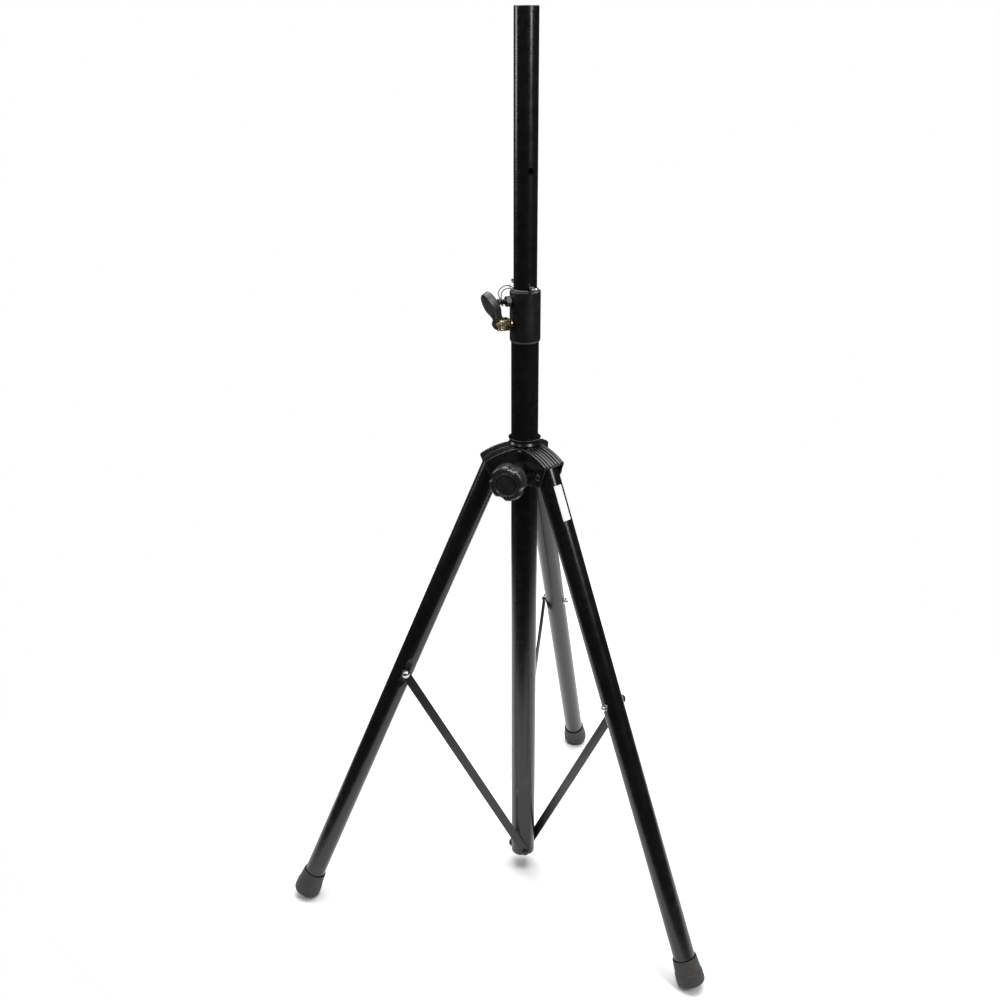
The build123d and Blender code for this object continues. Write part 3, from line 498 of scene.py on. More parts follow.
def piece(name, shells, finish, body, *nodes, angle=32):
    """A Blender object from shells, riding on a body and standing for CAD nodes."""
    points, faces = [], []
    for shell_points, shell_faces in shells:
        base = len(points)
        points.extend(MM * Vector(point) for point in shell_points)
        faces.extend(tuple(base + i for i in face) for face in shell_faces)
    mesh = bpy.data.meshes.new(name)
    mesh.from_pydata(points, [], faces)
    sorter = bmesh.new()
    sorter.from_mesh(mesh)
    bmesh.ops.recalc_face_normals(sorter, faces=sorter.faces)
    sorter.to_mesh(mesh)
    sorter.free()
    mesh.shade_smooth()
    mesh.set_sharp_from_angle(angle=math.radians(angle))
    mesh.materials.append(looks[finish])
    thing = bpy.data.objects.new(name, mesh)
    scene.collection.objects.link(thing)
    if nodes:
        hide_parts(*nodes)
    if body:
        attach(thing, body)
    return thing


# ---------------------------------------------------------------- lanyard
# One loop of wire, in two halves that meet behind the mast.
LANYARD_AT_SCREW = [
    (-0.02975, 0.00625, 1.06550),
    (-0.03000, 0.00350, 1.06600),
    (-0.03100, -0.00200, 1.06650),
    (-0.03300, -0.00800, 1.06600),
    (-0.03550, -0.01450, 1.06350),
    (-0.03600, -0.02000, 1.05900),
    (-0.03250, -0.02440, 1.05380),
    (-0.02720, -0.02750, 1.05060),
    (-0.02590, -0.02760, 1.04600),
    (-0.02720, -0.02460, 1.04150),
    (-0.03000, -0.02000, 1.04080),
    (-0.03190, -0.01660, 1.04400),
    (-0.03270, -0.01510, 1.04950),
    (-0.03290, -0.01420, 1.05550),
    (-0.03210, -0.01150, 1.06060),
    (-0.03050, -0.00550, 1.06200),
    (-0.02950, 0.00000, 1.06200),
    (-0.02900, 0.00550, 1.06150),
    (-0.02900, 0.00825, 1.06100),
]
LANYARD_AT_PIN = [
    (-0.02975, 0.00625, 1.06550),
    (-0.02950, 0.00900, 1.06500),
    (-0.02950, 0.01450, 1.06350),
    (-0.02950, 0.02000, 1.06150),
    (-0.02900, 0.02450, 1.05980),
    (-0.02840, 0.02850, 1.05840),
    (-0.02850, 0.03180, 1.05790),
    (-0.02960, 0.03450, 1.05640),
    (-0.02980, 0.03480, 1.05340),
    (-0.02820, 0.03200, 1.05150),
    (-0.02720, 0.02860, 1.05280),
    (-0.02750, 0.02550, 1.05550),
    (-0.02850, 0.02150, 1.05750),
    (-0.02850, 0.01600, 1.05950),
    (-0.02900, 0.01100, 1.06050),
    (-0.02900, 0.00825, 1.06100),
]
WIRE_D = 0.0015
STRANDS = 6
WIRE_SIDES = 24
TWIST = 900.0
LAY_DEEP = 0.06


def wire_line(route):
    """The points of a smooth NURBS line along a route."""
    data = bpy.data.curves.new("line", "CURVE")
    data.dimensions = "3D"
    data.resolution_u = 12
    spline = data.splines.new("NURBS")
    spline.points.add(len(route) - 1)
    for point, where in zip(spline.points, route):
        point.co = (*where, 1.0)
    spline.order_u = 3
    spline.use_endpoint_u = True
    holder = bpy.data.objects.new("line", data)
    line = [vertex.co.copy() for vertex in bpy.data.meshes.new_from_object(holder).vertices]
    bpy.data.objects.remove(holder)
    return line


def wire_tube(line):
    """A twisted wire along a line. The line is in metres, the tube in millimetres."""
    rings = []
    aside = UP.cross(line[1] - line[0]).normalized()
    travelled = 0.0
    for i, here in enumerate(line):
        ahead = (line[min(i + 1, len(line) - 1)] - line[max(i - 1, 0)]).normalized()
        aside = (aside - ahead * aside.dot(ahead)).normalized()
        over = ahead.cross(aside)
        if i:
            travelled += (here - line[i - 1]).length
        ring = []
        for k in range(WIRE_SIDES):
            turn = TAU * k / WIRE_SIDES
            lay = math.cos(STRANDS * (turn + TWIST * travelled))
            reach = WIRE_D / 2 * (1 - LAY_DEEP + LAY_DEEP * lay)
            offset = aside * math.cos(turn) + over * math.sin(turn)
            ring.append((here + offset * reach) / MM)
        rings.append(ring)
    return shell(rings)


def lanyard_half(name, route, length, bodies, start, end, *nodes):
    """One half of the lanyard, a twisted wire along its route between the two bodies it joins; it
    rides on neither.
    """
    line = wire_line(route)
    wire = piece(name, [wire_tube(line)], "wire_dark", None, *nodes, angle=80)
    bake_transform(wire)


lanyard_half("lanyard_at_screw", LANYARD_AT_SCREW, 0.100, ("column", "mast"),
             (-0.0325, -0.0140, 1.0600), (-0.0295, 0.0060, 1.0630),
             "lanyard_outer", "lanyard_inner")
lanyard_half("lanyard_at_pin", LANYARD_AT_PIN, 0.062, ("mast", "safety_pin"),
             (-0.0295, 0.0085, 1.0630), (-0.0285, 0.0260, 1.0580))


# ---------------------------------------------------------------- column and legs
# Each flat reaches up to SEAT_TOP; the crease beside it swings in towards it lower down
FLAT_DISTANCE, FLAT_HALF_TURN = 18.6, 0.7
CREASE_TOP, CREASE_RAMP = 183.0, 34.0
CREASE_DEEP, CREASE_WIDE = 2.4, 1.3
CREASE_LEAD, CREASE_SWING = -45, 41
SWING_TOP, SWING_RAMP = 84, 44
SEAT_TOP, SEAT_RAMP = CREASE_TOP + 20, 26


def column_reach(turn, radius, height):
    """Radius of the column: round, pressed flat for the struts at its foot, and creased."""
    reach = radius
    shallow = smooth((SEAT_TOP - height) / SEAT_RAMP)
    seat = radius - (COLUMN_R - FLAT_DISTANCE) * shallow
    fade = smooth((CREASE_TOP - height) / CREASE_RAMP)
    swing = CREASE_SWING * smooth((SWING_TOP - height) / SWING_RAMP)
    lead = math.radians(CREASE_LEAD + swing)
    for azimuth in LEG_AZIMUTHS:
        middle = math.radians(azimuth + 90)
        aside = math.remainder(turn - middle, TAU)
        if abs(aside) < FLAT_HALF_TURN:
            reach = min(reach, seat / math.cos(aside))
        groove = math.remainder(turn - middle - lead, TAU) * radius
        reach -= CREASE_DEEP * fade * math.exp(-(groove / CREASE_WIDE) ** 2)
    return reach


column_rows = [COLUMN_LOW + 4.0 * i for i in range(45)]
column_rows += [208, 230, 300, 450, 600, 750, 900, COLUMN_TOP]
column_profile = [(COLUMN_R - 0.4, COLUMN_LOW), (COLUMN_R, COLUMN_LOW + 0.4)]
column_profile += [(COLUMN_R, row) for row in column_rows[1:]]
column_profile += [(COLUMN_R - COLUMN_WALL, row) for row in reversed(column_rows)]
piece("column", [lathe(column_profile, upright(), 216, True, column_reach)],
      "tube_black", "column", "column_tube", angle=50)


LEG_SEAT_DEEP, LEG_SEAT_HALF, LEG_SEAT_RAMP = 1.1, 30, 13


def leg_reach(turn, radius, height):
    """Radius of a leg: round, with the pressed seat of its strut."""
    away = abs(height - LEG_PIVOT)
    depth = LEG_SEAT_DEEP * smooth((LEG_SEAT_HALF - away) / LEG_SEAT_RAMP)
    aside = math.remainder(turn, TAU)
    return min(radius, (radius - depth) / math.cos(aside)) if abs(aside) < 1 else radius


leg_rows = [LEG_TOP, 60, 150, 250, 330]
leg_rows += [344 + 2 * i for i in range(32)]
leg_rows += [420, 520, 640, 760, LEG_TUBE_END]

FOOT_R, SOLE_ROUND = 22.8, 4.6
TREAD_RINGS, TREAD_DEEP = (15.0, 10.5, 6.0), 0.8


def foot_profile():
    """Foot: a thin gap round the tube, a conical sleeve, a step and a rounded sole."""
    gap = [
        (LEG_R - 0.3, FOOT_END - 6),
        (LEG_R - 0.3, FOOT_START + 5),
        (LEG_R + 0.15, FOOT_START + 3.4),
        (LEG_R + 1.15, FOOT_START + 1.2),
    ]
    sleeve = soften([
        (LEG_R + 1.25, FOOT_START),
        (19.7, FOOT_START),
        (21.4, FOOT_START + 23.2),
        (22.4, FOOT_START + 24.2),
        (FOOT_R, FOOT_START + 36),
    ], 0.7)
    sole = []
    for k in range(9):
        turn = math.pi / 2 * k / 8
        sole.append((FOOT_R - SOLE_ROUND * (1 - math.cos(turn)),
                     FOOT_END - SOLE_ROUND * (1 - math.sin(turn))))
    tread = []
    for ring in TREAD_RINGS:
        tread += [(ring + 1.0, FOOT_END), (ring + 0.7, FOOT_END - TREAD_DEEP),
                  (ring - 0.7, FOOT_END - TREAD_DEEP), (ring - 1.0, FOOT_END)]
    return gap + sleeve + sole + tread + [(0, FOOT_END), (0, FOOT_END - 6)]


def bar_outline(length, half):
    """A flat bar with round ends."""
    points = []
    for end, start in ((length, -math.pi / 2), (0.0, math.pi / 2)):
        for k in range(17):
            turn = start + math.pi * k / 16
            points.append((end + half * math.cos(turn), half * math.sin(turn)))
    return points


def dome(where, start, radius, height, rise):
    """A domed head whose flat side is at start."""
    profile = [(0, start), (radius - 0.3, start), (radius, start + 0.3)]
    profile.append((radius, start + height - rise))
    for k in range(1, 9):
        turn = math.pi / 2 * k / 8
        profile.append((radius * math.cos(turn) if k < 8 else 0.0,
                        start + height - rise + rise * math.sin(turn)))
    return lathe(profile, where, 40)


def washer(where, radius, start, end):
    """A plain washer with soft edges."""
    return lathe(soften([(0, start), (radius, start), (radius, end), (0, end)], 0.25), where, 48)


THREAD_DEEP = 0.45


def threaded(where, radius, start, end, pitch=1.0):
    """A bolt's end with a thread and a chamfer."""
    profile = [(0, start), (radius, start)]
    height = start + pitch
    while height < end - pitch:
        profile += [(radius, height), (radius - THREAD_DEEP, height + pitch / 2)]
        height += pitch
    profile += [(radius, height), (radius - 0.9, end), (0, end)]
    return lathe(profile, where, 40)


STRUT_HALF = 7.5
lean = Vector((STRUT_RADIUS, STRUT_HEIGHT - STRUT_BOTTOM))
for number, azimuth in enumerate(LEG_AZIMUTHS, 1):
    leg, strut_body = f"leg_{number}", f"strut_{number}"
    axis = down_leg(azimuth)
    piece(f"leg_pipe_{number}",
          [lathe([(LEG_R, row) for row in leg_rows], axis, 120, False, leg_reach)],
          "tube_black", leg, f"leg_tube_{number}", angle=50)
    piece(f"leg_shoe_{number}", [lathe(foot_profile(), axis, 96)],
          "foot_rubber", leg, f"leg_foot_{number}", angle=40)

    along = (outward(azimuth) * lean.x + UP * lean.y).normalized()
    across = outward(azimuth + 90)
    bar_place = place(UP * STRUT_BOTTOM, along, across.cross(along), across)
    piece(f"strut_bar_{number}",
          [slab(bar_outline(lean.length, STRUT_HALF), STRUT_INNER, STRUT_OUTER, bar_place, 0.7)],
          "strut_black", strut_body, f"strut_{number}")

    side = sideways(azimuth, STRUT_RADIUS, STRUT_HEIGHT)
    back = sideways(azimuth, STRUT_RADIUS, STRUT_HEIGHT, -1)
    piece(f"strut_head_{number}", [
        washer(side, 6.5, LEG_R + 0.3, STRUT_INNER),
        washer(side, 6.6, STRUT_OUTER, STRUT_OUTER + 0.8),
        dome(side, STRUT_OUTER + 0.8, 5.4, 3.4, 2.6),
    ], "bright_steel", strut_body, f"strut_rivet_{number}")
    piece(f"leg_shank_{number}", [
        washer(side, 5.0, LEG_R - 1.0, LEG_R + 0.05),
        threaded(back, 3.0, -LEG_R + 1.2, LEG_R + 7.5),
    ], "bright_steel", leg, f"leg_bolt_{number}")
    piece(f"leg_locknut_{number}", [
        washer(back, 5.4, LEG_R - 1.0, LEG_R + 0.7),
        hexagon(back, 5.5, LEG_R + 0.6, LEG_R + 4.6),
        lathe([(0, LEG_R + 4.5), (4.4, LEG_R + 4.5), (4.2, LEG_R + 5.4), (3.1, LEG_R + 5.6),
               (0, LEG_R + 5.6)], back, 40),
    ], "bright_steel", leg, f"leg_nut_{number}")

pivots, bolts, nuts = [], [], []
for azimuth in LEG_AZIMUTHS:
    foot_side = sideways(azimuth, 0, STRUT_BOTTOM)
    pivots += [
        lathe([(0, 5.5), (3, 5.5), (3, 23), (0, 23)], foot_side, 32),
        washer(foot_side, 6.2, STRUT_OUTER + 0.3, STRUT_OUTER + 1.0),
        dome(foot_side, STRUT_OUTER + 1.0, 5.4, 2.8, 2.2),
    ]
    near = sideways(azimuth, HINGE_RADIUS, HINGE_Z, -1)
    far = sideways(azimuth, HINGE_RADIUS, HINGE_Z)
    bolts += [
        lathe([(0, -ARM_HALF - 6.5), (2.4, -ARM_HALF - 6.5), (3, -ARM_HALF - 5.9),
               (3, ARM_HALF + 1), (0, ARM_HALF + 1)], near, 32),
        washer(near, 6.4, ARM_HALF, ARM_HALF + 1.0),
        dome(near, ARM_HALF + 1.0, 5.2, 3.0, 2.3),
    ]
    nuts += [
        washer(far, 6.2, ARM_HALF, ARM_HALF + 0.8),
        hexagon(far, 5.6, ARM_HALF + 0.7, ARM_HALF + 5.2),
    ]
piece("strut_pivots", pivots, "dark_steel", "column", "strut_pivot_bolts")
piece("hinge_heads", bolts, "dark_steel", "hub", "hinge_bolts")
piece("hinge_locknuts", nuts, "dark_steel", "hub", "hinge_nuts")


# ---------------------------------------------------------------- hub
RIDGE_PITCH, RIDGE_HALF, RIDGE_RISE = 6.0, 1.5, 1.9
ROOF_HALF = 1.7
ROOF_START, ROOF_END = 20.0, 66.2
ROOF_CORNER = 7.0
ROOF_SIDE = ARM_IN + 1.6
ROOF_ACROSS, ROOF_ALONG, NOSE_STEPS = 110, 34, 5
CHEEK_NEAR, CHEEK_FAR, CHEEK_STEPS, CHEEK_RISE = 14.0, 66.5, 24, 0.9
ROOF_LINE = [(14.0, 35.6), (22.0, 34.5), (35.0, 31.9), (47.0, 28.0), (58.0, 23.0), (68.0, 17.0)]


def roof_at(x):
    """Height of an arm's top line above the hinges, and its slope."""
    return curve_at(ROOF_LINE, x), (curve_at(ROOF_LINE, x + 0.5) - curve_at(ROOF_LINE, x - 0.5))


def ridge(y):
    """Height of the ribbed roof's pattern, across the arm."""
    nearest = (round(y / RIDGE_PITCH - 0.5) + 0.5) * RIDGE_PITCH
    return RIDGE_RISE * smooth((RIDGE_HALF - abs(y - nearest)) / 1.1)


def arm_frame(azimuth):
    """Local X outward, local Y across, local Z up from the height of the hinges."""
    return place(UP * HINGE_Z, outward(azimuth), outward(azimuth + 90), UP)


def arm_roof(azimuth):
    """The ribbed roof of one arm, thicker than a sheet and round at its outer end."""
    where = arm_frame(azimuth)
    columns = [ROOF_SIDE * (2 * i / ROOF_ACROSS - 1) for i in range(ROOF_ACROSS + 1)]
    stations = [(i / ROOF_ALONG, 0.0) for i in range(ROOF_ALONG + 1)]
    stations += [(1.0, math.pi / 2 * k / NOSE_STEPS) for k in range(1, NOSE_STEPS + 1)]
    rings = []
    for share, nose in stations:
        top, bottom = [], []
        for y in columns:
            corner = max(0.0, abs(y) - (ARM_HALF - ROOF_CORNER)) / ROOF_CORNER
            reach = ROOF_END - ROOF_CORNER * (1 - math.sqrt(max(0.0, 1 - corner * corner)))
            x = ROOF_START + (reach - ROOF_START) * share
            height, slope = roof_at(x)
            tangent = Vector((1, 0, slope)).normalized()
            normal = Vector((-tangent.z, 0, tangent.x))
            middle = Vector((x, y, height)) - normal * ROOF_HALF
            middle += tangent * ROOF_HALF * math.sin(nose)
            half = ROOF_HALF * max(0.04, math.cos(nose))
            rise = ridge(y) * max(0.0, math.cos(nose)) ** 0.5
            top.append(where @ (middle + normal * (half + rise)))
            bottom.append(where @ (middle - normal * half))
        rings.append(top + bottom[::-1])
    return shell(rings)


def cheek_outline(gusset):
    """Outline of an arm's side plate; those at the front reach down under the knob's boss."""
    points = []
    for i in range(CHEEK_STEPS + 1):
        x = CHEEK_NEAR + (CHEEK_FAR - CHEEK_NEAR) * i / CHEEK_STEPS
        points.append((x, roof_at(x)[0] + CHEEK_RISE))
    foot = [(30.0, -19.0), (CHEEK_NEAR, -33.8)] if gusset else [(CHEEK_NEAR, -19.0)]
    lower = soften([(CHEEK_FAR, 19.0), (67.6, 16.6), (55.5, -17.0), *foot, (CHEEK_NEAR, 0.0)], 1.6)
    return points + lower[1:]


hub_shells = []
for azimuth in LEG_AZIMUTHS:
    hub_shells.append(arm_roof(azimuth))
    for way in (1, -1):
        front = (azimuth, way) in ((210.0, 1), (330.0, -1))
        hub_shells.append(slab(cheek_outline(front), ARM_IN, ARM_HALF,
                               sideways(azimuth, 0, HINGE_Z, way), 0.75))

NECK = soften([
    (22.5, -19.0), (25.2, -19.0), (25.6, -17.6), (25.6, 12.0), (26.8, 24.0), (26.4, 31.0),
    (24.6, 33.6), (24.2, 36.0), (22.5, 36.0),
], 1.4, True)
hub_shells.append(lathe(NECK, upright(HINGE_Z), 120, True))
BOSS = soften([(0, 20.0), (13.2, 20.0), (12.5, 30.0), (12.5, 60.0), (11.6, 60.6), (11.6, 62.4),
               (12.5, 63.0), (12.5, 66.0), (9.0, 66.0), (9.0, 64.5), (0, 64.5)], 0.5)
hub_shells.append(lathe(BOSS, facing(KNOB_AZIMUTH, KNOB_Z), 72))
piece("hub_body", hub_shells, "moulded_black", "hub", "hub_casting", angle=38)

RING_LINE = soften([
    (COLUMN_R + 0.06, 36.0), (23.6, 36.0), (23.6, 37.0), (25.1, 38.0), (25.3, 39.8), (24.0, 41.8),
    (23.1, 43.2), (23.1, 44.4), (25.3, 47.8), (25.4, 48.5), (24.3, 48.8), (22.6, 46.8),
    (21.4, 45.4), (COLUMN_R + 0.06, 44.8),
], 0.7, True)
piece("hub_collar_ring", [lathe(RING_LINE, upright(HINGE_Z), 120, True)],
      "moulded_black", "hub", "hub_ring", angle=45)

# ---------------------------------------------------------------- knob
KNOB_R, SCALLOP_R, SCALLOP_AT, SCALLOP_SLOPE = 28.0, 12.0, 36.5, 2.5
KNOB_NOTCH = math.radians(70.0)
LOBE_BLEND = 2.6
KNOB_BACK, KNOB_FACE, KNOB_STEPS = 74.0, 97.0, 180


def knob_reach(turn):
    """Outline of the knob: four broad lobes with soft notches."""
    aside = math.remainder(turn - KNOB_NOTCH, TAU / 4)
    inside = SCALLOP_R ** 2 - (SCALLOP_AT * math.sin(aside)) ** 2
    if inside <= 0:
        gap = abs(SCALLOP_AT * math.sin(aside)) - SCALLOP_R
        scallop = SCALLOP_AT * math.cos(aside) + SCALLOP_SLOPE * gap
    else:
        scallop = SCALLOP_AT * math.cos(aside) - math.sqrt(inside)
    near = max(0.0, LOBE_BLEND - abs(KNOB_R - scallop)) / LOBE_BLEND
    return min(KNOB_R, scallop) - LOBE_BLEND * near * near / 4


knob_frame = facing(KNOB_AZIMUTH, KNOB_Z)
# Depth along the knob, distance inside its outline, and a radius where the ring is round
KNOB_RINGS = [
    (73.9, 5.0, 0), (74.0, 3.2, 0), (74.5, 1.6, 0), (75.6, 0.5, 0), (77.2, 0.1, 0), (79.0, 0, 0),
    (88.0, 0, 0), (88.6, 0.15, 0), (88.9, 0.9, 0), (89.9, 0.9, 0), (90.2, 0.15, 0), (90.8, 0, 0),
    (92.6, 0.1, 0), (94.2, 0.45, 0), (95.6, 1.1, 0), (96.7, 2.1, 0), (97.5, 3.3, 0), (98.0, 4.6, 0),
    (98.2, 0, 19.0), (98.25, 0, 18.7), (98.7, 0, 18.3), (99.0, 0, 17.6), (98.95, 0, 16.9),
    (98.5, 0, 16.4), (97.6, 0, 16.2), (97.0, 0, 16.1),
]


def knob_shell():
    """The lobed grip, with a groove round it and a round recess in its face."""
    rings = [[knob_frame @ Vector((0, 0, KNOB_BACK))]]
    for depth, back, fixed in KNOB_RINGS:
        ring = []
        for i in range(KNOB_STEPS):
            turn = TAU * i / KNOB_STEPS
            reach = fixed or knob_reach(turn) - back
            spot = Vector((reach * math.cos(turn), reach * math.sin(turn), depth))
            ring.append(knob_frame @ spot)
        rings.append(ring)
    rings.append([knob_frame @ Vector((0, 0, KNOB_FACE))])
    return shell(rings)


KNOB_NECK = soften([(0, 68.0), (13.4, 68.0), (14.2, 69.5), (15.4, 75.0), (0, 75.0)], 0.5)
piece("knob_grip", [knob_shell(), lathe(KNOB_NECK, knob_frame, 72)],
      "knob_black", "hub_knob", "hub_knob", angle=40)
CAP_LINE = soften([(0, 97.0), (15.4, 97.0), (15.4, 98.0), (13.0, 97.9), (0, 97.7)], 0.5)
piece("knob_disc", [lathe(CAP_LINE, knob_frame, 96)], "knob_black", "hub_knob", "knob_cap")

# ---------------------------------------------------------------- mast clamp
COLLAR_LINE = soften([
    (COLUMN_R + 0.05, 985.0), (21.7, 985.0), (23.2, 988.2), (23.2, 1061.0), (22.8, 1061.5),
    (20.6, 1061.5), (20.6, 1058.1), (COLUMN_R + 0.05, 1058.1),
], 0.4, True)
# Close rows inside, for the pocket
COLLAR_LINE += [(COLUMN_R + 0.05, CLAMP_Z + 7.0 - 0.7 * i) for i in range(21)]
POCKET_R, POCKET_DEEP = 6.0, 1.75


def sleeve_reach(turn, radius, height):
    """Radius of the sleeve, hollowed inside where the plunger's pad draws back."""
    if radius > COLUMN_R + 0.2:
        return radius
    along = math.remainder(turn - math.radians(CLAMP_AZIMUTH), TAU) * radius
    return radius + POCKET_DEEP * smooth(POCKET_R - math.hypot(along, height - CLAMP_Z))


piece("collar_sleeve", [lathe(COLLAR_LINE, upright(), 144, True, sleeve_reach)],
      "collar_black", "column", "clamp_collar", angle=40)
BUSH_LINE = soften([
    (MAST_R + 0.06, 990.0), (19.5, 990.0), (19.5, 1058.0), (20.4, 1058.0), (20.4, 1063.6),
    (19.6, 1064.5), (18.2, 1064.5), (MAST_R + 0.06, 1063.8),
], 0.35, True)
piece("collar_lip", [lathe(BUSH_LINE, upright(), 120, True)],
      "nylon_grey", "column", "collar_bush", angle=40)

clamp_axis = facing(CLAMP_AZIMUTH, CLAMP_Z)
CHEEK_IN, CHEEK_OUT, YOKE_BASE, YOKE_TIP = 6.7, 9.3, 26.0, 8.2


def yoke_cheek():
    """Side view of one cheek: square at its root, round about the pivot pin."""
    root = YOKE_BASE - LEVER_PIVOT_R
    points = [(root + 0.4, -YOKE_TIP)]
    for k in range(19):
        turn = -math.pi / 2 + math.pi * k / 18
        points.append((YOKE_TIP * math.cos(turn), YOKE_TIP * math.sin(turn)))
    return points + [(root + 0.4, YOKE_TIP)]


yoke_shells = []
for way in (1, -1):
    cheek_place = sideways(CLAMP_AZIMUTH, LEVER_PIVOT_R, CLAMP_Z, way)
    yoke_shells.append(slab(yoke_cheek(), CHEEK_IN, CHEEK_OUT, cheek_place, 0.6))
base_outline = soften([(-CHEEK_OUT, -YOKE_TIP), (CHEEK_OUT, -YOKE_TIP), (CHEEK_OUT, YOKE_TIP),
                       (-CHEEK_OUT, YOKE_TIP)], 1.2, True)
yoke_shells.append(slab(base_outline, YOKE_BASE, YOKE_BASE + 3.0, clamp_axis, 0.6))
yoke_shells.append(lathe(soften([(4.6, 20.0), (6.5, 20.0), (6.5, 27.0), (4.6, 27.0)], 0.3, True),
                         clamp_axis, 48, True))
piece("lever_bracket", yoke_shells, "bronze_steel", "column", "lever_yoke")

# Cam lever, slimmer and straighter up than the CAD's, and twisted where that one isn't:
# local X along the paddle, local Y its outer side, local Z across it
LEVER_LEAN = math.radians(26.7)
lever_axis = outward(CLAMP_AZIMUTH) * math.sin(LEVER_LEAN) + UP * math.cos(LEVER_LEAN)
lever_out = outward(CLAMP_AZIMUTH) * math.cos(LEVER_LEAN) - UP * math.sin(LEVER_LEAN)
lever_frame = place(outward(CLAMP_AZIMUTH) * LEVER_PIVOT_R + UP * CLAMP_Z, lever_axis, lever_out,
                    outward(CLAMP_AZIMUTH + 90))
CAM_R, LEVER_TIP = 9.0, 53.4
PADDLE_OUTER = [(3, 7.6), (6, 5.6), (9, 4.3), (16, 4.0), (40, 4.0), (49, 3.7), (52, 3.1),
                (LEVER_TIP, 2.4)]
PADDLE_INNER = [(3, -8.5), (9, -8.7), (36, -8.6), (49, -8.2), (52, -7.7), (LEVER_TIP, -7.0)]
PADDLE_HALF, PADDLE_NECK, PADDLE_MID = 13.2, 6.4, 30.0
PADDLE_EDGE, PADDLE_DISH = 1.2, 1.1
PADDLE_TWIST = math.radians(14.5)
CORNER_STEPS, FLAT_STEPS = 6, 12
# Where each change starts along the lever, and over what distance it grows
WIDEN_AT, WIDEN_OVER = 10, 18
TWIST_AT, TWIST_OVER = 8, 14
DISH_AT, DISH_OVER = 12, 8


def paddle_ring(x):
    """Cross-section of the lever at a distance from its pivot, turned towards its tip."""
    cam = math.sqrt(max(0.0, CAM_R ** 2 - x * x))
    outer, inner = curve_at(PADDLE_OUTER, x), curve_at(PADDLE_INNER, x)
    if x < 3:
        share = smooth(x / 3)
        outer = cam + (outer - cam) * share
        inner = -cam + (inner + cam) * share
    if x <= PADDLE_MID:
        wide = smooth((x - WIDEN_AT) / WIDEN_OVER)
        half = PADDLE_NECK + (PADDLE_HALF - PADDLE_NECK) * wide
    else:
        share = (x - PADDLE_MID) / (LEVER_TIP - PADDLE_MID + 0.05)
        half = PADDLE_HALF * math.sqrt(max(0.0, 1 - share ** 2))
    middle, thick = (outer + inner) / 2, (outer - inner) / 2
    curve = min(PADDLE_EDGE, 0.9 * half, 0.9 * thick)
    twist = PADDLE_TWIST * smooth((x - TWIST_AT) / TWIST_OVER)
    dish = PADDLE_DISH * smooth((x - DISH_AT) / DISH_OVER)
    section = []
    for way_side, way_out in ((1, 1), (-1, 1), (-1, -1), (1, -1)):
        start = math.atan2(way_out, way_side) - math.pi / 4
        for k in range(CORNER_STEPS + 1):
            turn = start + math.pi / 2 * k / CORNER_STEPS
            section.append((way_side * (half - curve) + curve * math.cos(turn),
                            way_out * (thick - curve) + curve * math.sin(turn)))
        if way_side == way_out:
            flat = way_side * (half - curve)
            section += [(flat * (1 - 2 * k / FLAT_STEPS), way_out * thick)
                        for k in range(1, FLAT_STEPS)]
    ring = []
    for side, rise in section:
        if rise > 0:
            rise -= dish * (1 - (side / half) ** 2)
        out = middle + rise * math.cos(twist) - side * math.sin(twist)
        across = rise * math.sin(twist) + side * math.cos(twist)
        ring.append(lever_frame @ Vector((x, out, across)))
    return ring


paddle_stations = [-8.97, -8.8, -8.2, -7, -5, -2.5, 0, 1.5, 3]
paddle_stations += [4.5 + 1.6 * i for i in range(29)]
paddle_stations += [50.4, 51.4, 52.1, 52.7, 53.1, 53.3, 53.38]
paddle = piece("lever_paddle", [shell([paddle_ring(x) for x in paddle_stations])],
               "knob_black", "cam_lever", "cam_lever", angle=42)
paddle.data.materials[0] = looks["lever_black"]

# Collar screw, its nut and the split ring
screw_axis = facing(SCREW_AZIMUTH, SCREW_Z)
piece("collar_bolt", [
    threaded(screw_axis, 4.0, 20.0, 40.5, 1.25),
    lathe(soften([(0, 40.0), (5.2, 40.0), (5.2, 43.0), (0, 43.0)], 0.8), screw_axis, 48),
], "dark_steel", "column", "collar_screw")
piece("collar_hexnut", [
    washer(screw_axis, 7.6, 23.3, 24.4),
    hexagon(screw_axis, 8.2, 24.2, 31.0),
], "dark_steel", "column", "collar_nut")

RING_R, RING_COIL = 6.45, 0.34
RING_STEPS, RING_SIDES, RING_START, RING_CROSSING = 120, 14, 0.6, 7
ring_frame = place(outward(PIN_AZIMUTH) * 41.5 + UP * (PIN_Z - 6.5), outward(PIN_AZIMUTH + 90), UP,
                   outward(PIN_AZIMUTH))


def ring_shell():
    """Split ring: two turns of round wire, side by side, that cross over once."""
    rings = []
    for i in range(RING_STEPS + 1):
        share = 2 * i / RING_STEPS
        turn = TAU * share + RING_START
        lift = RING_COIL * math.tanh((share - 1) * RING_CROSSING)
        centre = Vector((RING_R * math.cos(turn), RING_R * math.sin(turn), lift))
        out = Vector((math.cos(turn), math.sin(turn), 0))
        ring = []
        for k in range(RING_SIDES):
            lap = TAU * k / RING_SIDES
            offset = out * (RING_COIL * math.cos(lap)) + UP * (RING_COIL * math.sin(lap))
            ring.append(ring_frame @ (centre + offset))
        rings.append(ring)
    return shell(rings)


piece("key_ring", [ring_shell()], "bright_steel", "safety_pin", "split_ring", angle=60)

# ---------------------------------------------------------------- stage and light
FLOOR_R, FLOOR_Y = 1.5, 0.9
FLOOR_Z, FLOOR_SIDES = -0.0003, 128
FADE_Y, FADE_START, FADE_END = 0.2, 0.85, 1.25
WHITE, SEEN_WHITE, LIT_WHITE = (1, 1, 1, 1), 1.0, 0.05
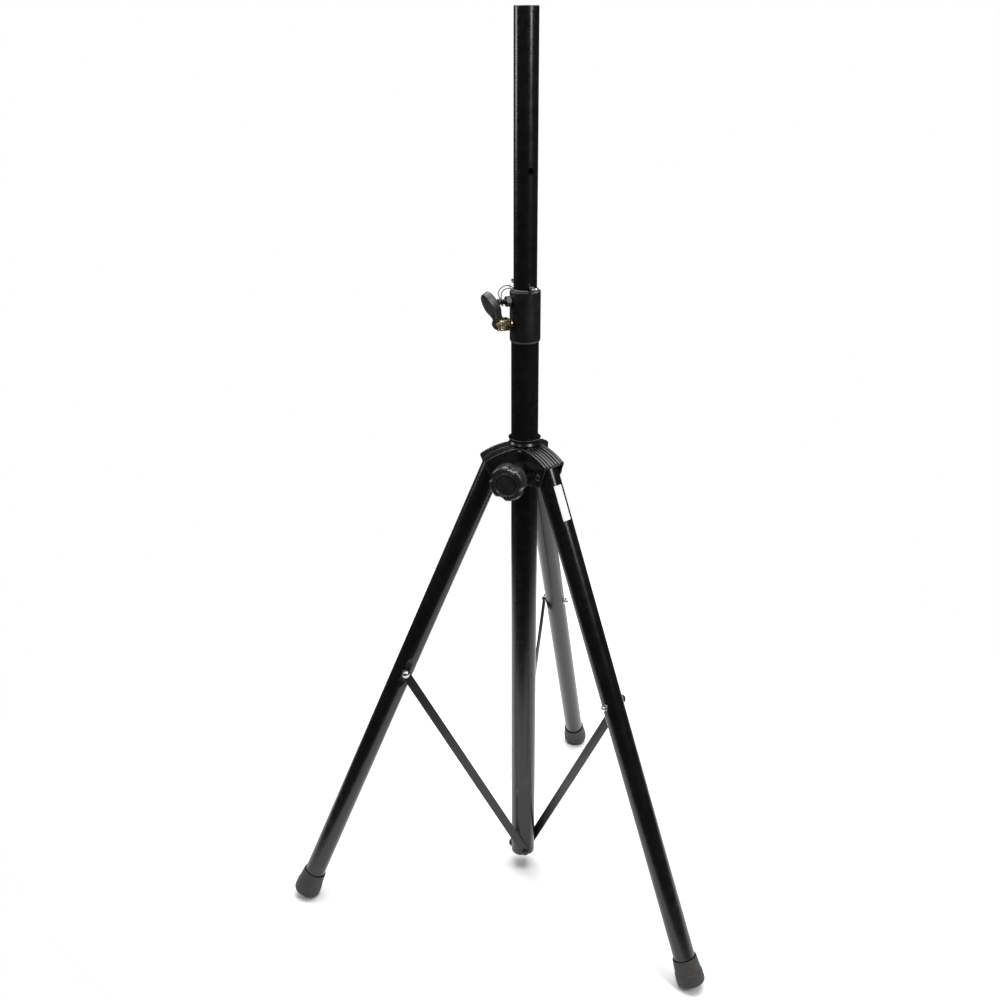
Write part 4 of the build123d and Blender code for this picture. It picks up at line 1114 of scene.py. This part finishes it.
# Name, place, target, size and power in watts
LIGHTS = [
    ("overhead", (0.0, 0.7, 2.8), (0, 0.7, 0), (2.8, 2.6), 150),
    ("right", (1.75, -0.9, 2.05), (0, 0, 1.1), (0.3, 1.3), 36),
    ("left", (-1.9, -0.1, 1.8), (0, 0, 1.0), (0.5, 1.5), 20),
    ("front", (-0.9, -2.2, 2.5), (0, 0, 0.9), (0.5, 0.5), 9),
]


def stage():
    """A plain pale floor that fades out before its edge."""
    look = Look("floor")
    tone = look.noise(3.0, 2.0)
    colour = look.mix(look.span(tone, 0.0, 1.0), grey(0.86), grey(0.89))
    look.bump(look.noise(400.0, 2.0), 0.00002)
    look.finish(colour, look.span(tone, 0.7, 0.8))
    reach = look.tree.nodes.new("ShaderNodeVectorMath")
    reach.operation = "DISTANCE"
    reach.inputs[1].default_value = (0, FADE_Y, 0)
    look.tree.links.new(look.place, reach.inputs[0])
    fade = look.span(reach.outputs["Value"], 1.0, 0.0, FADE_START, FADE_END)
    look.tree.links.new(fade, look.shader.inputs["Alpha"])
    mesh = bpy.data.meshes.new("floor")
    turns = [TAU * i / FLOOR_SIDES for i in range(FLOOR_SIDES)]
    edge = [(FLOOR_R * math.cos(turn), FLOOR_Y + FLOOR_R * math.sin(turn), FLOOR_Z)
            for turn in turns]
    mesh.from_pydata(edge, [], [tuple(range(FLOOR_SIDES))])
    mesh.materials.append(look.material)
    floor = bpy.data.objects.new("floor", mesh)
    scene.collection.objects.link(floor)


def surroundings():
    """A white studio that is dimmer as a light than it looks."""
    world = bpy.data.worlds.new("studio")
    scene.world = world
    world.use_nodes = True
    nodes, links = world.node_tree.nodes, world.node_tree.links
    nodes.clear()
    seen = nodes.new("ShaderNodeBackground")
    seen.inputs["Color"].default_value = WHITE
    seen.inputs["Strength"].default_value = SEEN_WHITE
    lit = nodes.new("ShaderNodeBackground")
    lit.inputs["Color"].default_value = WHITE
    lit.inputs["Strength"].default_value = LIT_WHITE
    ray = nodes.new("ShaderNodeLightPath")
    mix = nodes.new("ShaderNodeMixShader")
    out = nodes.new("ShaderNodeOutputWorld")
    links.new(ray.outputs["Is Camera Ray"], mix.inputs["Fac"])
    links.new(lit.outputs[0], mix.inputs[1])
    links.new(seen.outputs[0], mix.inputs[2])
    links.new(mix.outputs[0], out.inputs["Surface"])


stage()
surroundings()
for light in LIGHTS:
    softbox(*light)
